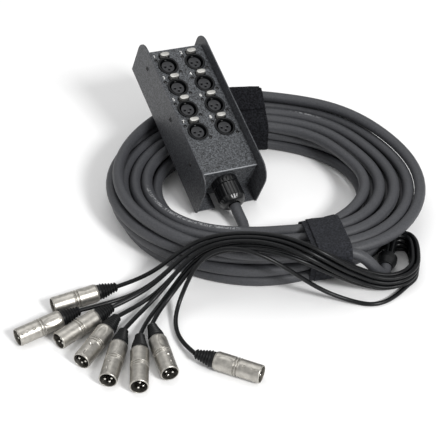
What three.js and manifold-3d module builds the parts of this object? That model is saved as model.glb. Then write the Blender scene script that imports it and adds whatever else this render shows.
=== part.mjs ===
// Eight-channel stage box with its wound multicore cable and eight plugs on tails.
// Millimetres, +Z up, the object stands on z = 0.
import * as THREE from 'three';
import { mergeVertices } from 'three/addons/utils/BufferGeometryUtils.js';
import Module from 'manifold-3d';

const wasm = await Module();
wasm.setup();

// ---- shared ----
const gap = 0.3;
const margin = 2;
const ringSteps = 16;
const coarseSteps = 12;
const ribSteps = 10;
const cornerSteps = 5;
const bevelSteps = 3;
const degree = Math.PI / 180;
const turn = Math.PI * 2;

// ---- box: sheet-metal channel with cheeks and a front cover ----
const boxWidth = 76;
const boxLeft = -39.9;
const sheet = 1.5;
const panelTop = 71.2;
const panelBottom = -104;
const cheekTop = 82.6;
const cheekBottom = -126.4;
const boxDepth = 44.1;
const cheekProud = 13.3;
const cheekCorner = 19;
const backChamfer = 3;
const slotLeft = -15;
const slotRight = 23;
const bendRadius = 2;
const boxHeading = 23.46;
const boxLean = 22.08;
const boxRoll = 6.26;
const boxPlace = new THREE.Vector3(-1.47, 6.97, 90.85);

// ---- sockets and push tabs ----
const columnHalf = 16.86;
const rowPitch = 31.4;
const rowCount = 4;
const socketRadius = 11.2;
const socketBore = 9.8;
const socketCore = 7.6;
const socketProud = 1.3;
const coreSink = 0.9;
const socketDeep = 25;
const grooveDeep = 14;
const flangeWide = 26;
const flangeThick = 2;
const flangeSink = 1.9;
const contactRadius = 1.3;
const contactDeep = 11;
const pinSpread = 3.5;
const pinDrop = 4;
const tabWide = 11;
const tabTall = 4.8;
const tabOffset = 14.1;
const tabTop = 5.6;
const tabBottom = -1.4;
const tabBevel = 0.9;
const tabNotchDeep = 4;
// the flange ends short of the tab of the socket below it
const flangeTall = 2 * (rowPitch - tabOffset - tabTall / 2 - gap);

// ---- cable gland ----
const glandX = -1.9;
const glandZ = -22;
const threadRadius = 10.8;
const glandFlangeHalf = 15.2;
const glandFlangeLong = 8;
const glandBodyLong = 17;
const glandEnd = -136.6;
const capRadius = 14;
const capTip = 8.6;
const glandBore = 6.45;
const locknutHalf = 15.6;
const locknutLong = 5;
const threadInside = 10;
const coreBundle = 6.8;
const coreDepth = -34;
const coreTop = 52;

// ---- multicore and its coil ----
const cable = 12.3;
const coilX = 73.2;
const coilY = -73.2;
const coilLong = 166;
const coilShort = 146;
const coilSides = 6;
const coilSteps = 24;
const coilStart = 0.3889;
const coilEnd = 12.2861;
const layerRise = 12.95;
const restLift = 0.05;
const strapLift = 3.2;
const strapSpread = 0.34;
const frontStrapAngle = -72;
const rearStrapAngle = 97;
const pitchBase = 15.9;
const pitchCos = 0.7;
const pitchSin = -0.2;
const pitchTwice = 0.5;
const outerTurn = 3.5;
const climbTurns = 0.5;
const innerTurn = 4;
const tightLean = 12;
const tightAngle = -38;
const tightSpread = 0.5;
const tightFade = 8;
const topBase = -49;
const topStart = 7.5;
const topPitch = 14.65;
const topPitchCos = 1.5;
const topLeft = 6;
const topLeftSpread = 0.7;
const topFront = -14;
const topFrontSpread = 0.65;
const topRight = -9;
const topRightAngle = 25;
const topRightSpread = 0.45;
const innerClimb = 7.27;
const innerClimbTurns = 0.25;
const overStart = 11.55;
const overTurns = 0.3;
const overClimb = 11.5;
const overClimbTurns = 0.37;
const overBase = -5;
const overBack = 15;
const overBackAngle = 88;
const overBackSpread = 0.8;
const overOut = 8;
const overOutStart = 12.1;
const overOutTurns = 0.2;

// ---- straps, sleeve, tails ----
const strapWide = 40;
const strapThick = 1.9;
const strapClear = 0.4;
const strapBow = 1.4;
const sleeveLong = 15;
const sleeveRadius = 10.2;
const sleeveNeck = 7.6;
const sleeveRun = 8;
const tail = 4.6;
const laneGap = 5.4;
const laneTight = 4.75;
const tubeSides = 10;
const tailSides = 8;
const tailStep = 13.8;
const multicoreStep = 30;

// ---- cable plugs ----
const plugHeight = 9.8;
const shellRadius = 9.5;
const shellLong = 49;
const shellBore = 8.1;
const shellRear = 6.4;
const shellRearLong = 20;
const shellCollar = 22;
const shellCollarLong = 6;
const shellGroove = 0.7;
const shellChamfer = 0.6;
const insertLong = 8;
const insertDeep = 14;
const plugPinRadius = 1.2;
const plugPinLong = 12;
const bootLong = 21.2;
const bootRadius = 6.9;
const bootTip = 4.1;
const bootRings = 2;
const bootRib = 0.7;

const colours = {
  paint: '#2b2d31', cheek: '#303236', plastic: '#17181b', core: '#232427', nickel: '#b9bab8',
  jacket: '#3a3b3e', tail: '#191a1c', hook: '#1d1e22', rubber: '#141517',
};
const materials = {};
for (const [name, colour] of Object.entries(colours)) {
  materials[name] = new THREE.MeshStandardMaterial({ color: colour });
}

const part = new THREE.Group();
part.name = 'stage_box_snake';

function add(name, geometry, material) {
  const mesh = new THREE.Mesh(geometry, material);
  mesh.name = name;
  part.add(mesh);
  return mesh;
}

// ---- helpers ----
function solid(geometry) {
  const plain = geometry.clone();
  plain.deleteAttribute('normal');
  plain.deleteAttribute('uv');
  const merged = mergeVertices(plain);
  const vertProperties = new Float32Array(merged.attributes.position.array);
  const triVerts = new Uint32Array(merged.index.array);
  return new wasm.Manifold(new wasm.Mesh({ numProp: 3, vertProperties, triVerts }));
}

function surface(manifold) {
  const mesh = manifold.getMesh();
  const geometry = new THREE.BufferGeometry();
  geometry.setAttribute('position', new THREE.BufferAttribute(new Float32Array(mesh.vertProperties), 3));
  geometry.setIndex(new THREE.BufferAttribute(new Uint32Array(mesh.triVerts), 1));
  return geometry;
}

function block(fromX, toX, fromY, toY, fromZ, toZ) {
  const geometry = new THREE.BoxGeometry(toX - fromX, toY - fromY, toZ - fromZ);
  return geometry.translate((fromX + toX) / 2, (fromY + toY) / 2, (fromZ + toZ) / 2);
}

// A closed profile of (radius, length) pairs turned about Z, its faces outward.
function revolve(profile, steps) {
  const points = profile.map(([radius, along]) => new THREE.Vector2(radius, along));
  if (THREE.ShapeUtils.area(points) < 0) points.reverse();
  points.push(points[0].clone());
  return new THREE.LatheGeometry(points, steps).rotateX(Math.PI / 2);
}

function rod(radius, fromZ, toZ, steps) {
  return revolve([[0, toZ], [0, fromZ], [radius, fromZ], [radius, toZ]], steps);
}

// A (Y, Z) outline carried across X.
function across(shape, fromX, toX) {
  const geometry = new THREE.ExtrudeGeometry(shape, { depth: toX - fromX, bevelEnabled: false, curveSegments: cornerSteps });
  const turnUp = new THREE.Matrix4().set(0, 0, 1, fromX, 1, 0, 0, 0, 0, 1, 0, 0, 0, 0, 0, 1);
  return geometry.applyMatrix4(turnUp);
}

function smooth(value) {
  const x = Math.min(Math.max(value, 0), 1);
  return x * x * (3 - 2 * x);
}

function ramp(value) {
  return Math.min(Math.max(value, 0), 1);
}

function hump(angle, centre, spread) {
  const off = angle - centre * degree;
  const wrapped = Math.atan2(Math.sin(off), Math.cos(off));
  return Math.exp(-((wrapped / spread) ** 2));
}

function convexHull(points) {
  const sorted = [...points].sort((a, b) => a.x - b.x || a.y - b.y);
  const half = (list) => {
    const out = [];
    for (const p of list) {
      while (out.length > 1) {
        const a = out[out.length - 2];
        const b = out[out.length - 1];
        if ((b.x - a.x) * (p.y - a.y) - (b.y - a.y) * (p.x - a.x) > 0) break;
        out.pop();
      }
      out.push(p);
    }
    out.pop();
    return out;
  };
  return [...half(sorted), ...half(sorted.reverse())];
}

function tube(points, diameter, sides, step) {
  const path = new THREE.CatmullRomCurve3(points);
  const section = new THREE.Shape();
  for (let k = 0; k < sides; k += 1) {
    const angle = (k + 0.5) / sides * turn;
    const x = Math.cos(angle) * diameter / 2;
    const y = Math.sin(angle) * diameter / 2;
    if (k === 0) section.moveTo(x, y);
    else section.lineTo(x, y);
  }
  section.closePath();
  const steps = Math.ceil(path.getLength() / step);
  return new THREE.ExtrudeGeometry(section, { steps, extrudePath: path, bevelEnabled: false });
}

const boxFrame = new THREE.Matrix4().makeRotationFromEuler(
  new THREE.Euler(boxLean * degree, boxRoll * degree, boxHeading * degree, 'ZXY'));
boxFrame.setPosition(boxPlace);

const boxPieces = new THREE.Group();

function addBoxPiece(name, geometry, material) {
  const mesh = add(name, geometry.applyMatrix4(boxFrame), material);
  boxPieces.add(mesh.clone());
}

// ---- base channel: back plate, two cheeks, open lower end with two feet ----
const boxRight = boxLeft + boxWidth;
const backZ = -boxDepth;

function cheekShape() {
  const s = new THREE.Shape();
  const low = cheekBottom + cheekCorner;
  const high = cheekTop - cheekCorner;
  const front = cheekProud - cheekCorner;
  s.moveTo(cheekBottom + backChamfer, backZ);
  s.lineTo(cheekTop, backZ);
  s.lineTo(cheekTop, front);
  s.absarc(high, front, cheekCorner, 0, Math.PI / 2, false);
  s.lineTo(low, cheekProud);
  s.absarc(low, front, cheekCorner, Math.PI / 2, Math.PI, false);
  s.lineTo(cheekBottom, backZ + backChamfer);
  s.closePath();
  return s;
}
const plateBody = solid(block(boxLeft, boxRight, cheekBottom + backChamfer, cheekTop, backZ, backZ + sheet));
const plateSlot = solid(block(slotLeft, slotRight, cheekBottom - margin, panelBottom, backZ - margin, backZ + sheet + margin));
const cheeks = [boxLeft, boxRight - sheet].map((x) => solid(across(cheekShape(), x, x + sheet)));
const channel = plateBody.subtract(plateSlot).add(cheeks[0]).add(cheeks[1]);
addBoxPiece('base_channel', surface(channel), materials.cheek);

// ---- front cover: one bent sheet, panel and both end faces ----
function coverShape() {
  const floor = backZ + sheet + gap;
  const s = new THREE.Shape();
  s.moveTo(panelTop, floor);
  s.lineTo(panelTop, -bendRadius);
  s.absarc(panelTop - bendRadius, -bendRadius, bendRadius, 0, Math.PI / 2, false);
  s.lineTo(panelBottom + bendRadius, 0);
  s.absarc(panelBottom + bendRadius, -bendRadius, bendRadius, Math.PI / 2, Math.PI, false);
  s.lineTo(panelBottom, floor);
  s.lineTo(panelBottom + sheet, floor);
  s.lineTo(panelBottom + sheet, -sheet);
  s.lineTo(panelTop - sheet, -sheet);
  s.lineTo(panelTop - sheet, floor);
  s.closePath();
  return s;
}
const coverLeft = boxLeft + sheet + gap;
const coverRight = boxRight - sheet - gap;
let cover = solid(across(coverShape(), coverLeft, coverRight));

const places = [];
for (let row = 0; row < rowCount; row += 1) {
  for (const side of [-1, 1]) {
    places.push({ x: side * columnHalf, y: ((rowCount - 1) / 2 - row) * rowPitch });
  }
}
const holeRadius = socketRadius + gap;
const tabSlotWide = tabWide / 2 + gap;
const tabSlotTall = tabTall / 2 + gap;
for (const { x, y } of places) {
  const hole = rod(holeRadius, -sheet - margin, margin, ringSteps).translate(x, y, 0);
  const tabY = y + tabOffset;
  const slot = block(x - tabSlotWide, x + tabSlotWide, tabY - tabSlotTall, tabY + tabSlotTall, -sheet - margin, margin);
  cover = cover.subtract(solid(hole)).subtract(solid(slot));
}
const threadHole = rod(threadRadius + gap, panelBottom - margin, panelBottom + sheet + margin, ringSteps);
const glandTurn = new THREE.Matrix4().makeRotationX(-Math.PI / 2).setPosition(glandX, 0, glandZ);
cover = cover.subtract(solid(threadHole.applyMatrix4(glandTurn)));
addBoxPiece('front_cover', surface(cover), materials.paint);

// ---- sockets: round shell, ring groove, contact block, flange behind the panel ----
const coreFront = -coreSink;
function socketBody() {
  const profile = [
    [0, -socketDeep], [socketRadius, -socketDeep], [socketRadius, socketProud], [socketBore, socketProud],
    [socketBore, -grooveDeep],
    [socketCore, -grooveDeep], [socketCore, coreFront], [0, coreFront],
  ];
  const flangeTop = -flangeSink;
  const flange = block(-flangeWide / 2, flangeWide / 2, -flangeTall / 2, flangeTall / 2, flangeTop - flangeThick, flangeTop);
  let body = solid(revolve(profile, ringSteps));
  const clear = solid(rod((socketBore + socketRadius) / 2, -socketDeep, margin, ringSteps));
  const notchLow = tabOffset - tabSlotTall;
  const notch = block(-tabSlotWide, tabSlotWide, notchLow, flangeTall, -tabNotchDeep, margin);
  body = body.add(solid(flange).subtract(clear).subtract(solid(notch)));
  const contacts = [[-pinSpread, 0], [pinSpread, 0], [0, -pinDrop]];
  for (const [x, y] of contacts) {
    const well = rod(contactRadius, coreFront - contactDeep, margin, coilSides).translate(x, y, 0);
    body = body.subtract(solid(well));
  }
  return surface(body);
}

// ---- push tab: rounded bar pressed into the panel ----
function tabBody() {
  const round = tabTall / 2;
  const inner = tabWide / 2 - round;
  const s = new THREE.Shape();
  s.moveTo(-inner, -round);
  s.lineTo(inner, -round);
  s.absarc(inner, 0, round, -Math.PI / 2, Math.PI / 2, false);
  s.lineTo(-inner, round);
  s.absarc(-inner, 0, round, Math.PI / 2, -Math.PI / 2, false);
  const depth = tabTop - tabBottom - tabBevel;
  const body = new THREE.ExtrudeGeometry(s, { depth, bevelEnabled: false, curveSegments: bevelSteps });
  const positions = body.attributes.position;
  for (let k = 0; k < positions.count; k += 1) {
    if (positions.getZ(k) > depth / 2) {
      const shrink = 1 - tabBevel / round;
      positions.setX(k, positions.getX(k) * (1 - tabBevel / tabWide));
      positions.setY(k, positions.getY(k) * shrink);
    }
  }
  return body.translate(0, 0, tabBottom);
}
const socketForm = socketBody();
const tabForm = tabBody();
places.forEach(({ x, y }, k) => {
  addBoxPiece(`socket_${k + 1}`, socketForm.clone().translate(x, y, 0), materials.plastic);
  addBoxPiece(`latch_${k + 1}`, tabForm.clone().translate(x, y + tabOffset, 0), materials.nickel);
});

// ---- gland: threaded body through the end face, locknut inside, dome cap outside ----
function alongEnd(geometry) {
  return geometry.applyMatrix4(glandTurn);
}
const flangeEnd = panelBottom - gap;
const bodyEnd = panelBottom - glandBodyLong;
const innerEnd = panelBottom + threadInside;
const bodyProfile = [
  [glandBore, bodyEnd], [capRadius - margin, bodyEnd], [capRadius - margin, flangeEnd - glandFlangeLong],
  [glandFlangeHalf, flangeEnd - glandFlangeLong], [glandFlangeHalf, flangeEnd], [threadRadius, flangeEnd],
  [threadRadius, innerEnd], [glandBore, innerEnd],
];
addBoxPiece('gland_body', alongEnd(revolve(bodyProfile, coarseSteps)), materials.plastic);
const capStart = flangeEnd - glandFlangeLong - gap;
const capWall = capRadius - margin + gap;
const capShoulder = glandEnd + glandBore / 2;
const capProfile = [
  [capTip - margin, glandEnd], [capTip, glandEnd], [capRadius, capShoulder + margin], [capRadius, capStart],
  [capWall, capStart], [capWall, bodyEnd - gap], [capTip - margin, bodyEnd - gap],
];
addBoxPiece('gland_cap', alongEnd(revolve(capProfile, coarseSteps)), materials.plastic);
const nutStart = panelBottom + sheet + gap;
const nutProfile = [
  [threadRadius + gap, nutStart], [locknutHalf, nutStart], [locknutHalf, nutStart + locknutLong],
  [threadRadius + gap, nutStart + locknutLong],
];
addBoxPiece('gland_locknut', alongEnd(revolve(nutProfile, coilSides * 2)), materials.plastic);

function boxPoint(x, y, z) {
  return new THREE.Vector3(x, y, z).applyMatrix4(boxFrame);
}

// Inner bundle of cores from the gland up between the sockets.
const coreStart = innerEnd + gap;
const coreRoute = [
  new THREE.Vector3(glandX, coreStart, glandZ), new THREE.Vector3(glandX, coreStart + cable, glandZ),
  new THREE.Vector3(glandX, coreStart + cable * 2, coreDepth + margin), new THREE.Vector3(glandX, -rowPitch, coreDepth),
  new THREE.Vector3(glandX, 0, coreDepth), new THREE.Vector3(glandX, coreTop, coreDepth),
];
addBoxPiece('inner_cores', tube(coreRoute, coreBundle * 2, tailSides, multicoreStep), materials.tail);

// ---- coil: one unbroken cable, out, in and out again, a last loop on top ----
function coilPoint(u) {
  const angle = Math.PI + turn * u;
  const cos = Math.cos(angle);
  const sin = Math.sin(angle);
  const ellipse = 1 / Math.hypot(cos / coilLong, sin / coilShort);
  const pitch = pitchBase + pitchCos * cos + pitchSin * sin + pitchTwice * Math.cos(2 * angle);
  let off = 0;
  if (u < outerTurn) off = (u - outerTurn) * pitch;
  if (u > innerTurn) off = (innerTurn - u) * pitch;
  off -= tightLean * hump(angle, tightAngle, tightSpread) * ramp(1 - u / tightFade);
  const topStep = topPitch + topPitchCos * cos;
  const top = topBase + topStep * (u - topStart) + topLeft * hump(angle, 180, topLeftSpread)
    + topFront * hump(angle, 270, topFrontSpread) + topRight * hump(angle, topRightAngle, topRightSpread);
  off += (top - off) * smooth((u - innerClimb) / innerClimbTurns);
  const over = overBase + overBack * hump(angle, overBackAngle, overBackSpread)
    + overOut * smooth((u - overOutStart) / overOutTurns);
  off += (over - off) * smooth((u - overStart) / overTurns);
  const level = ramp((u - outerTurn) / climbTurns) + smooth((u - innerClimb) / innerClimbTurns)
    + ramp((u - overClimb) / overClimbTurns);
  const lift = strapLift * (hump(angle, frontStrapAngle, strapSpread) + hump(angle, rearStrapAngle, strapSpread));
  const radius = ellipse + off;
  return new THREE.Vector3(coilX + radius * cos, coilY + radius * sin, cable / 2 + restLift + lift + layerRise * level);
}

const coilStations = [coilStart];
for (let k = Math.ceil(coilStart * coilSteps + climbTurns); k < coilEnd * coilSteps - climbTurns; k += 1) {
  coilStations.push(k / coilSteps);
}
coilStations.push(coilEnd);
const tiny = 0.001;

function coilTangent(u) {
  return coilPoint(u + tiny).sub(coilPoint(u - tiny)).normalize();
}

function coilForm() {
  const positions = [];
  const index = [];
  for (const u of coilStations) {
    const centre = coilPoint(u);
    const ahead = coilTangent(u);
    const side = new THREE.Vector3(-ahead.y, ahead.x, 0).normalize();
    const up = ahead.clone().cross(side);
    for (let k = 0; k < coilSides; k += 1) {
      const angle = k / coilSides * turn;
      const p = centre.clone().addScaledVector(side, Math.cos(angle) * cable / 2);
      p.addScaledVector(up, Math.sin(angle) * cable / 2);
      positions.push(p.x, p.y, p.z);
    }
  }
  const last = (coilStations.length - 1) * coilSides;
  for (let k = 0; k < last; k += 1) {
    const next = k % coilSides === coilSides - 1 ? k + 1 - coilSides : k + 1;
    index.push(k, next, k + coilSides, next, next + coilSides, k + coilSides);
  }
  for (let k = 1; k < coilSides - 1; k += 1) {
    index.push(0, k + 1, k, last, last + k, last + k + 1);
  }
  const geometry = new THREE.BufferGeometry();
  geometry.setAttribute('position', new THREE.Float32BufferAttribute(positions, 3));
  geometry.setIndex(index);
  return geometry;
}
add('multicore_coil', coilForm(), materials.jacket);

// Least gap of the cable to itself, on points along the coil.
function leastCoilGap() {
  const perTurn = 96;
  const points = [];
  for (let u = coilStart; u < coilEnd; u += 1 / perTurn) points.push(coilPoint(u));
  let least = Infinity;
  for (let a = 0; a < points.length; a += 1) {
    for (let b = a + perTurn / 4; b < points.length; b += 1) {
      const square = points[a].distanceToSquared(points[b]);
      if (square < least) least = square;
    }
  }
  return Math.sqrt(least) - cable;
}
console.log('coil, least gap to itself in mm:', leastCoilGap().toFixed(2));

// ---- lead from the gland down to the start of the coil ----
const leadTable = [[58, -135, 8.6], [75, -146, 6.8], [97, -151.5, 6.5], [118, -149, 6.5]];
const glandMouth = glandEnd - gap;
const startAhead = coilTangent(coilStart);
const leadRoute = [
  boxPoint(glandX, glandMouth, glandZ), boxPoint(glandX, glandMouth - cable, glandZ),
  boxPoint(glandX, glandMouth - cable * 2, glandZ), ...leadTable.map((p) => new THREE.Vector3(...p)),
  coilPoint(coilStart).addScaledVector(startAhead, -cable - gap),
  coilPoint(coilStart).addScaledVector(startAhead, -gap),
];
add('multicore_lead', tube(leadRoute, cable, tubeSides, multicoreStep / 2), materials.jacket);

// ---- last run of the multicore, under the strap, down to the sleeve ----
const sleeveStart = new THREE.Vector3(200.8, -198, 11);
const sleeveAhead = new THREE.Vector3(0.26, 0.965, 0).normalize();
const endAhead = coilTangent(coilEnd);
const runTable = [
  [134, -217, 47], [157, -216, 46], [171, -216, 41], [181.5, -216, 31.5], [189.5, -215, 20.5],
];
const runRoute = [
  coilPoint(coilEnd).addScaledVector(endAhead, gap),
  coilPoint(coilEnd).addScaledVector(endAhead, cable + gap),
  ...runTable.map((p) => new THREE.Vector3(...p)),
  sleeveStart.clone().addScaledVector(sleeveAhead, -cable - gap),
  sleeveStart.clone().addScaledVector(sleeveAhead, -gap),
];
add('multicore_tail', tube(runRoute, cable, tubeSides, multicoreStep / 2), materials.jacket);

// ---- straps: closed bands round the bundle of loops ----
function strap(name, angle) {
  const at = angle * degree;
  const outward = new THREE.Vector3(Math.cos(at), Math.sin(at), 0);
  const middle = new THREE.Vector3(coilX, coilY, 0);
  const inside = [];
  const outside = [];
  const samples = [];
  const perTurn = 360;
  for (let k = Math.ceil(coilStart * perTurn); k < coilEnd * perTurn; k += 1) samples.push(coilPoint(k / perTurn));
  if (name === 'strap_front') samples.push(...new THREE.CatmullRomCurve3(runRoute).getSpacedPoints(perTurn));
  for (const p of samples) {
    const local = p.clone().sub(middle);
    const along = local.x * -outward.y + local.y * outward.x;
    const out = local.x * outward.x + local.y * outward.y;
    if (out < 0 || Math.abs(along) > strapWide / 2 + gap) continue;
    for (let k = 0; k < ribSteps; k += 1) {
      const a = k / ribSteps * turn;
      const reach = cable / 2 + strapClear;
      const bow = Math.cos(a) < 0 ? -strapBow : 0;
      const inner = new THREE.Vector2(out + bow + Math.cos(a) * reach, p.z + Math.sin(a) * reach);
      inside.push(inner);
      outside.push(new THREE.Vector2(inner.x + Math.cos(a) * strapThick, inner.y + Math.sin(a) * strapThick));
    }
  }
  const shape = new THREE.Shape(convexHull(outside));
  shape.holes.push(new THREE.Path(convexHull(inside)));
  const band = new THREE.ExtrudeGeometry(shape, { depth: strapWide, bevelEnabled: false });
  const tangent = new THREE.Vector3(0, 0, 1).cross(outward);
  const frame = new THREE.Matrix4().makeBasis(outward, new THREE.Vector3(0, 0, 1), tangent.clone().negate());
  frame.setPosition(middle.clone().addScaledVector(tangent, strapWide / 2));
  add(name, band.applyMatrix4(frame), materials.hook);
}
strap('strap_front', frontStrapAngle);
strap('strap_rear', rearStrapAngle);

// ---- sleeve over the point where the cable splits ----
const sleeveProfile = [
  [0, 0], [sleeveNeck, 0], [sleeveNeck, margin], [sleeveRadius, sleeveLong / 2], [sleeveRadius, sleeveLong],
  [0, sleeveLong],
];
const sleeveFrame = new THREE.Matrix4().makeRotationFromQuaternion(
  new THREE.Quaternion().setFromUnitVectors(new THREE.Vector3(0, 0, 1), sleeveAhead));
sleeveFrame.setPosition(sleeveStart);
add('breakout_sleeve', revolve(sleeveProfile, coarseSteps).applyMatrix4(sleeveFrame), materials.rubber);

// ---- tails: one bundle of two by four lanes, then eight branches ----
// Each row: x, y, z of the bundle's middle and its roll in degrees.
const trunkTable = [
  [208.4, -167.8, 11, -90], [211.6, -159.4, 10.9, -90], [219.6, -155.6, 10.9, -90], [227.7, -157.7, 10.9, -90],
  [232, -165.8, 10.9, -90], [232.5, -188, 10.9, -90], [229, -206, 10.9, -90], [218, -219.5, 11, -90],
  [200, -226.5, 12.5, -90], [180, -228.5, 18.5, -90], [163, -229.5, 27, -90], [148, -233.5, 37.5, -90],
  [133, -235.5, 48, -75], [116, -236, 60.5, -45], [97, -227, 64, -18], [76, -216.5, 61, 0],
  [52, -213.5, 61, 0], [30, -213.5, 60, 0], [12, -217, 58, 0],
];
const tailTable = [
  { name: 'A', lane: -1.5, deck: 0.5, end: [-145.5, -258.5], heading: -154.6,
    branch: [[-8, -211, 55], [-27, -216, 34], [-46, -220, 17]] },
  { name: 'B', lane: -1.5, deck: -0.5, end: [-176, -304.5], heading: -145.8,
    branch: [[-9, -213, 46], [-27, -220.5, 25], [-48, -230, 8], [-74, -241.5, 3.4], [-94, -250.5, 5]] },
  { name: 'C', lane: -0.5, deck: 0.5, end: [-134.6, -309.2], heading: -135.4,
    branch: [[-7, -216, 51.5], [-26, -226, 30], [-48, -238, 12], [-66, -247, 9]] },
  { name: 'D', lane: -0.5, deck: -0.5, end: [-109.6, -337.5], heading: -116.2,
    branch: [[-8, -218, 43], [-24, -228, 20], [-43, -241.5, 5], [-60, -255, 5]] },
  { name: 'E', lane: 0.5, deck: 0.5, end: [-82, -363.3], heading: -99.3,
    branch: [[-6, -222.5, 49.5], [-23, -235, 27], [-44, -252, 9], [-60, -271, 7]] },
  { name: 'F', lane: 0.5, deck: -0.5, end: [-51.4, -371.9], heading: -87.8,
    branch: [[-7, -224.5, 41], [-21, -236.5, 16], [-36, -250.5, 4], [-48, -270, 4]] },
  { name: 'G', lane: 1.5, deck: -0.5, end: [-22.4, -354.2], heading: -73.1,
    branch: [[-3.2, -228.6, 44], [-15.6, -239, 22], [-31, -254, 7.5]] },
  { name: 'H', lane: 1.5, deck: 0.5, end: [66.2, -355.4], heading: -23.8,
    branch: [[2, -233, 54], [-5, -239, 36], [-12, -245, 17], [-19.5, -254, 4.6], [-24.5, -267, 2.9], [-23, -283, 2.9], [-16, -300, 4]] },
];
// The lowest tail leaves the bundle after the bend and sags to the ground before it climbs back.
const sagTail = 'H';
const sagFrom = 9;
const sagTo = 18;
const sagTable = [
  [222, -219, 2.7], [210, -232.5, 2.7], [197, -243, 2.7], [181, -249, 2.7], [163, -246.5, 2.7],
  [146, -241, 5], [130, -239, 14], [113, -239, 29], [96, -239, 45],
  [79, -234.5, 57], [62, -231, 61.5], [45, -227, 64],
];

const trunk = trunkTable.map((row) => ({ at: new THREE.Vector3(row[0], row[1], row[2]), roll: row[3] * degree }));
for (const along of [sleeveRun, gap]) {
  trunk.unshift({
    at: sleeveStart.clone().addScaledVector(sleeveAhead, sleeveLong + along),
    roll: -90 * degree, ahead: sleeveAhead, tight: true,
  });
}
trunk.forEach((station, k) => {
  const before = trunk[Math.max(k - 1, 0)].at;
  const after = trunk[Math.min(k + 1, trunk.length - 1)].at;
  const ahead = station.ahead || after.clone().sub(before).normalize();
  const side = new THREE.Vector3(-ahead.y, ahead.x, 0).normalize();
  const up = ahead.clone().cross(side);
  const space = station.tight ? laneTight : laneGap;
  station.wide = side.clone().multiplyScalar(Math.cos(station.roll)).addScaledVector(up, Math.sin(station.roll));
  station.high = ahead.clone().cross(station.wide).multiplyScalar(space);
  station.wide.multiplyScalar(space);
});

const plugLong = shellLong + gap + bootLong;
tailTable.forEach(({ name, lane, deck, end, heading, branch }, k) => {
  const number = k + 1;
  const ahead = new THREE.Vector3(Math.cos(heading * degree), Math.sin(heading * degree), 0);
  const mouth = new THREE.Vector3(end[0], end[1], plugHeight);
  const rear = mouth.clone().addScaledVector(ahead, -plugLong);
  let lanes = trunk.map(({ at, wide, high }) => at.clone()
    .addScaledVector(wide, lane).addScaledVector(high, deck));
  if (name === sagTail) {
    lanes = [...lanes.slice(0, sagFrom), ...sagTable.map((p) => new THREE.Vector3(...p)), ...lanes.slice(sagTo + 1)];
  }
  const route = [...lanes, ...branch.map((p) => new THREE.Vector3(...p)),
    rear.clone().addScaledVector(ahead, -cable), rear.clone().addScaledVector(ahead, -gap)];
  add(`tail_${number}`, tube(route, tail, tailSides, tailStep), materials.tail);

  const frame = new THREE.Matrix4().makeBasis(
    new THREE.Vector3(-ahead.y, ahead.x, 0), new THREE.Vector3(0, 0, 1), ahead);
  frame.setPosition(rear);
  add(`plug_boot_${number}`, bootBody().applyMatrix4(frame), materials.rubber);
  add(`plug_shell_${number}`, shellBody().applyMatrix4(frame), materials.nickel);
  add(`plug_insert_${number}`, insertBody().applyMatrix4(frame), materials.core);
});

// ---- plug pieces along +Z from the boot's rear face ----
function bootBody() {
  const profile = [[0, 0], [bootTip, 0]];
  const ribLong = bootLong / (bootRings * 2 + 1);
  for (let k = 0; k < bootRings; k += 1) {
    const share = (k + 1) / (bootRings + 1);
    const radius = bootTip + (bootRadius - bootTip) * share;
    profile.push([radius, ribLong * (k * 2 + 1)], [radius - bootRib, ribLong * (k * 2 + 2)]);
  }
  profile.push([bootRadius, bootLong - ribLong], [bootRadius, bootLong], [0, bootLong]);
  return revolve(profile, ribSteps);
}

function shellBody() {
  const rear = bootLong + gap;
  const front = rear + shellLong;
  const collar = rear + shellCollar;
  const collarEnd = collar + shellCollarLong;
  const low = shellRadius - shellGroove;
  const profile = [
    [shellRear, rear], [shellRadius, rear], [shellRadius, collar], [low, collar + shellGroove], [low, collarEnd - shellGroove],
    [shellRadius, collarEnd], [shellRadius, front - shellChamfer], [shellRadius - shellChamfer, front],
    [shellBore, front], [shellBore, rear + shellRearLong], [shellRear, rear + shellRearLong],
  ];
  return revolve(profile, ringSteps);
}

function insertBody() {
  const front = bootLong + gap + shellLong;
  const face = front - insertDeep;
  let body = solid(rod(shellBore - gap, face - insertLong, face, coarseSteps));
  for (const [x, y] of [[-pinSpread, 0], [pinSpread, 0], [0, -pinDrop]]) {
    const pin = rod(plugPinRadius, face - insertLong / 2, face + plugPinLong, coilSides).translate(x, y, 0);
    body = body.add(solid(pin));
  }
  return surface(body);
}

// ---- stand the box on z = 0 with its middle over the origin, and carry the cables with it ----
const bounds = new THREE.Box3().setFromObject(boxPieces);
const centre = bounds.getCenter(new THREE.Vector3());
for (const mesh of part.children) mesh.geometry.translate(-centre.x, -centre.y, -bounds.min.z);
console.log('shift to the middle in mm:', [-centre.x, -centre.y, -bounds.min.z].map((v) => v.toFixed(3)).join(' '));

export default part;
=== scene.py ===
# %% [markdown]
# # A stage box with its wound multicore
# A stage box gathers eight microphone lines into one thick cable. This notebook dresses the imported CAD
# model of one: a folded steel box with eight sockets, a long multicore wound into a coil and held by two
# straps, and eight plugs on thin tails. The CAD model gives each place and size, and what follows gives
# each surface its rounded edges, its small parts and its finish.

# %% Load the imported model
import math

import bpy
import numpy as np
from mathutils import Matrix, Vector


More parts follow.
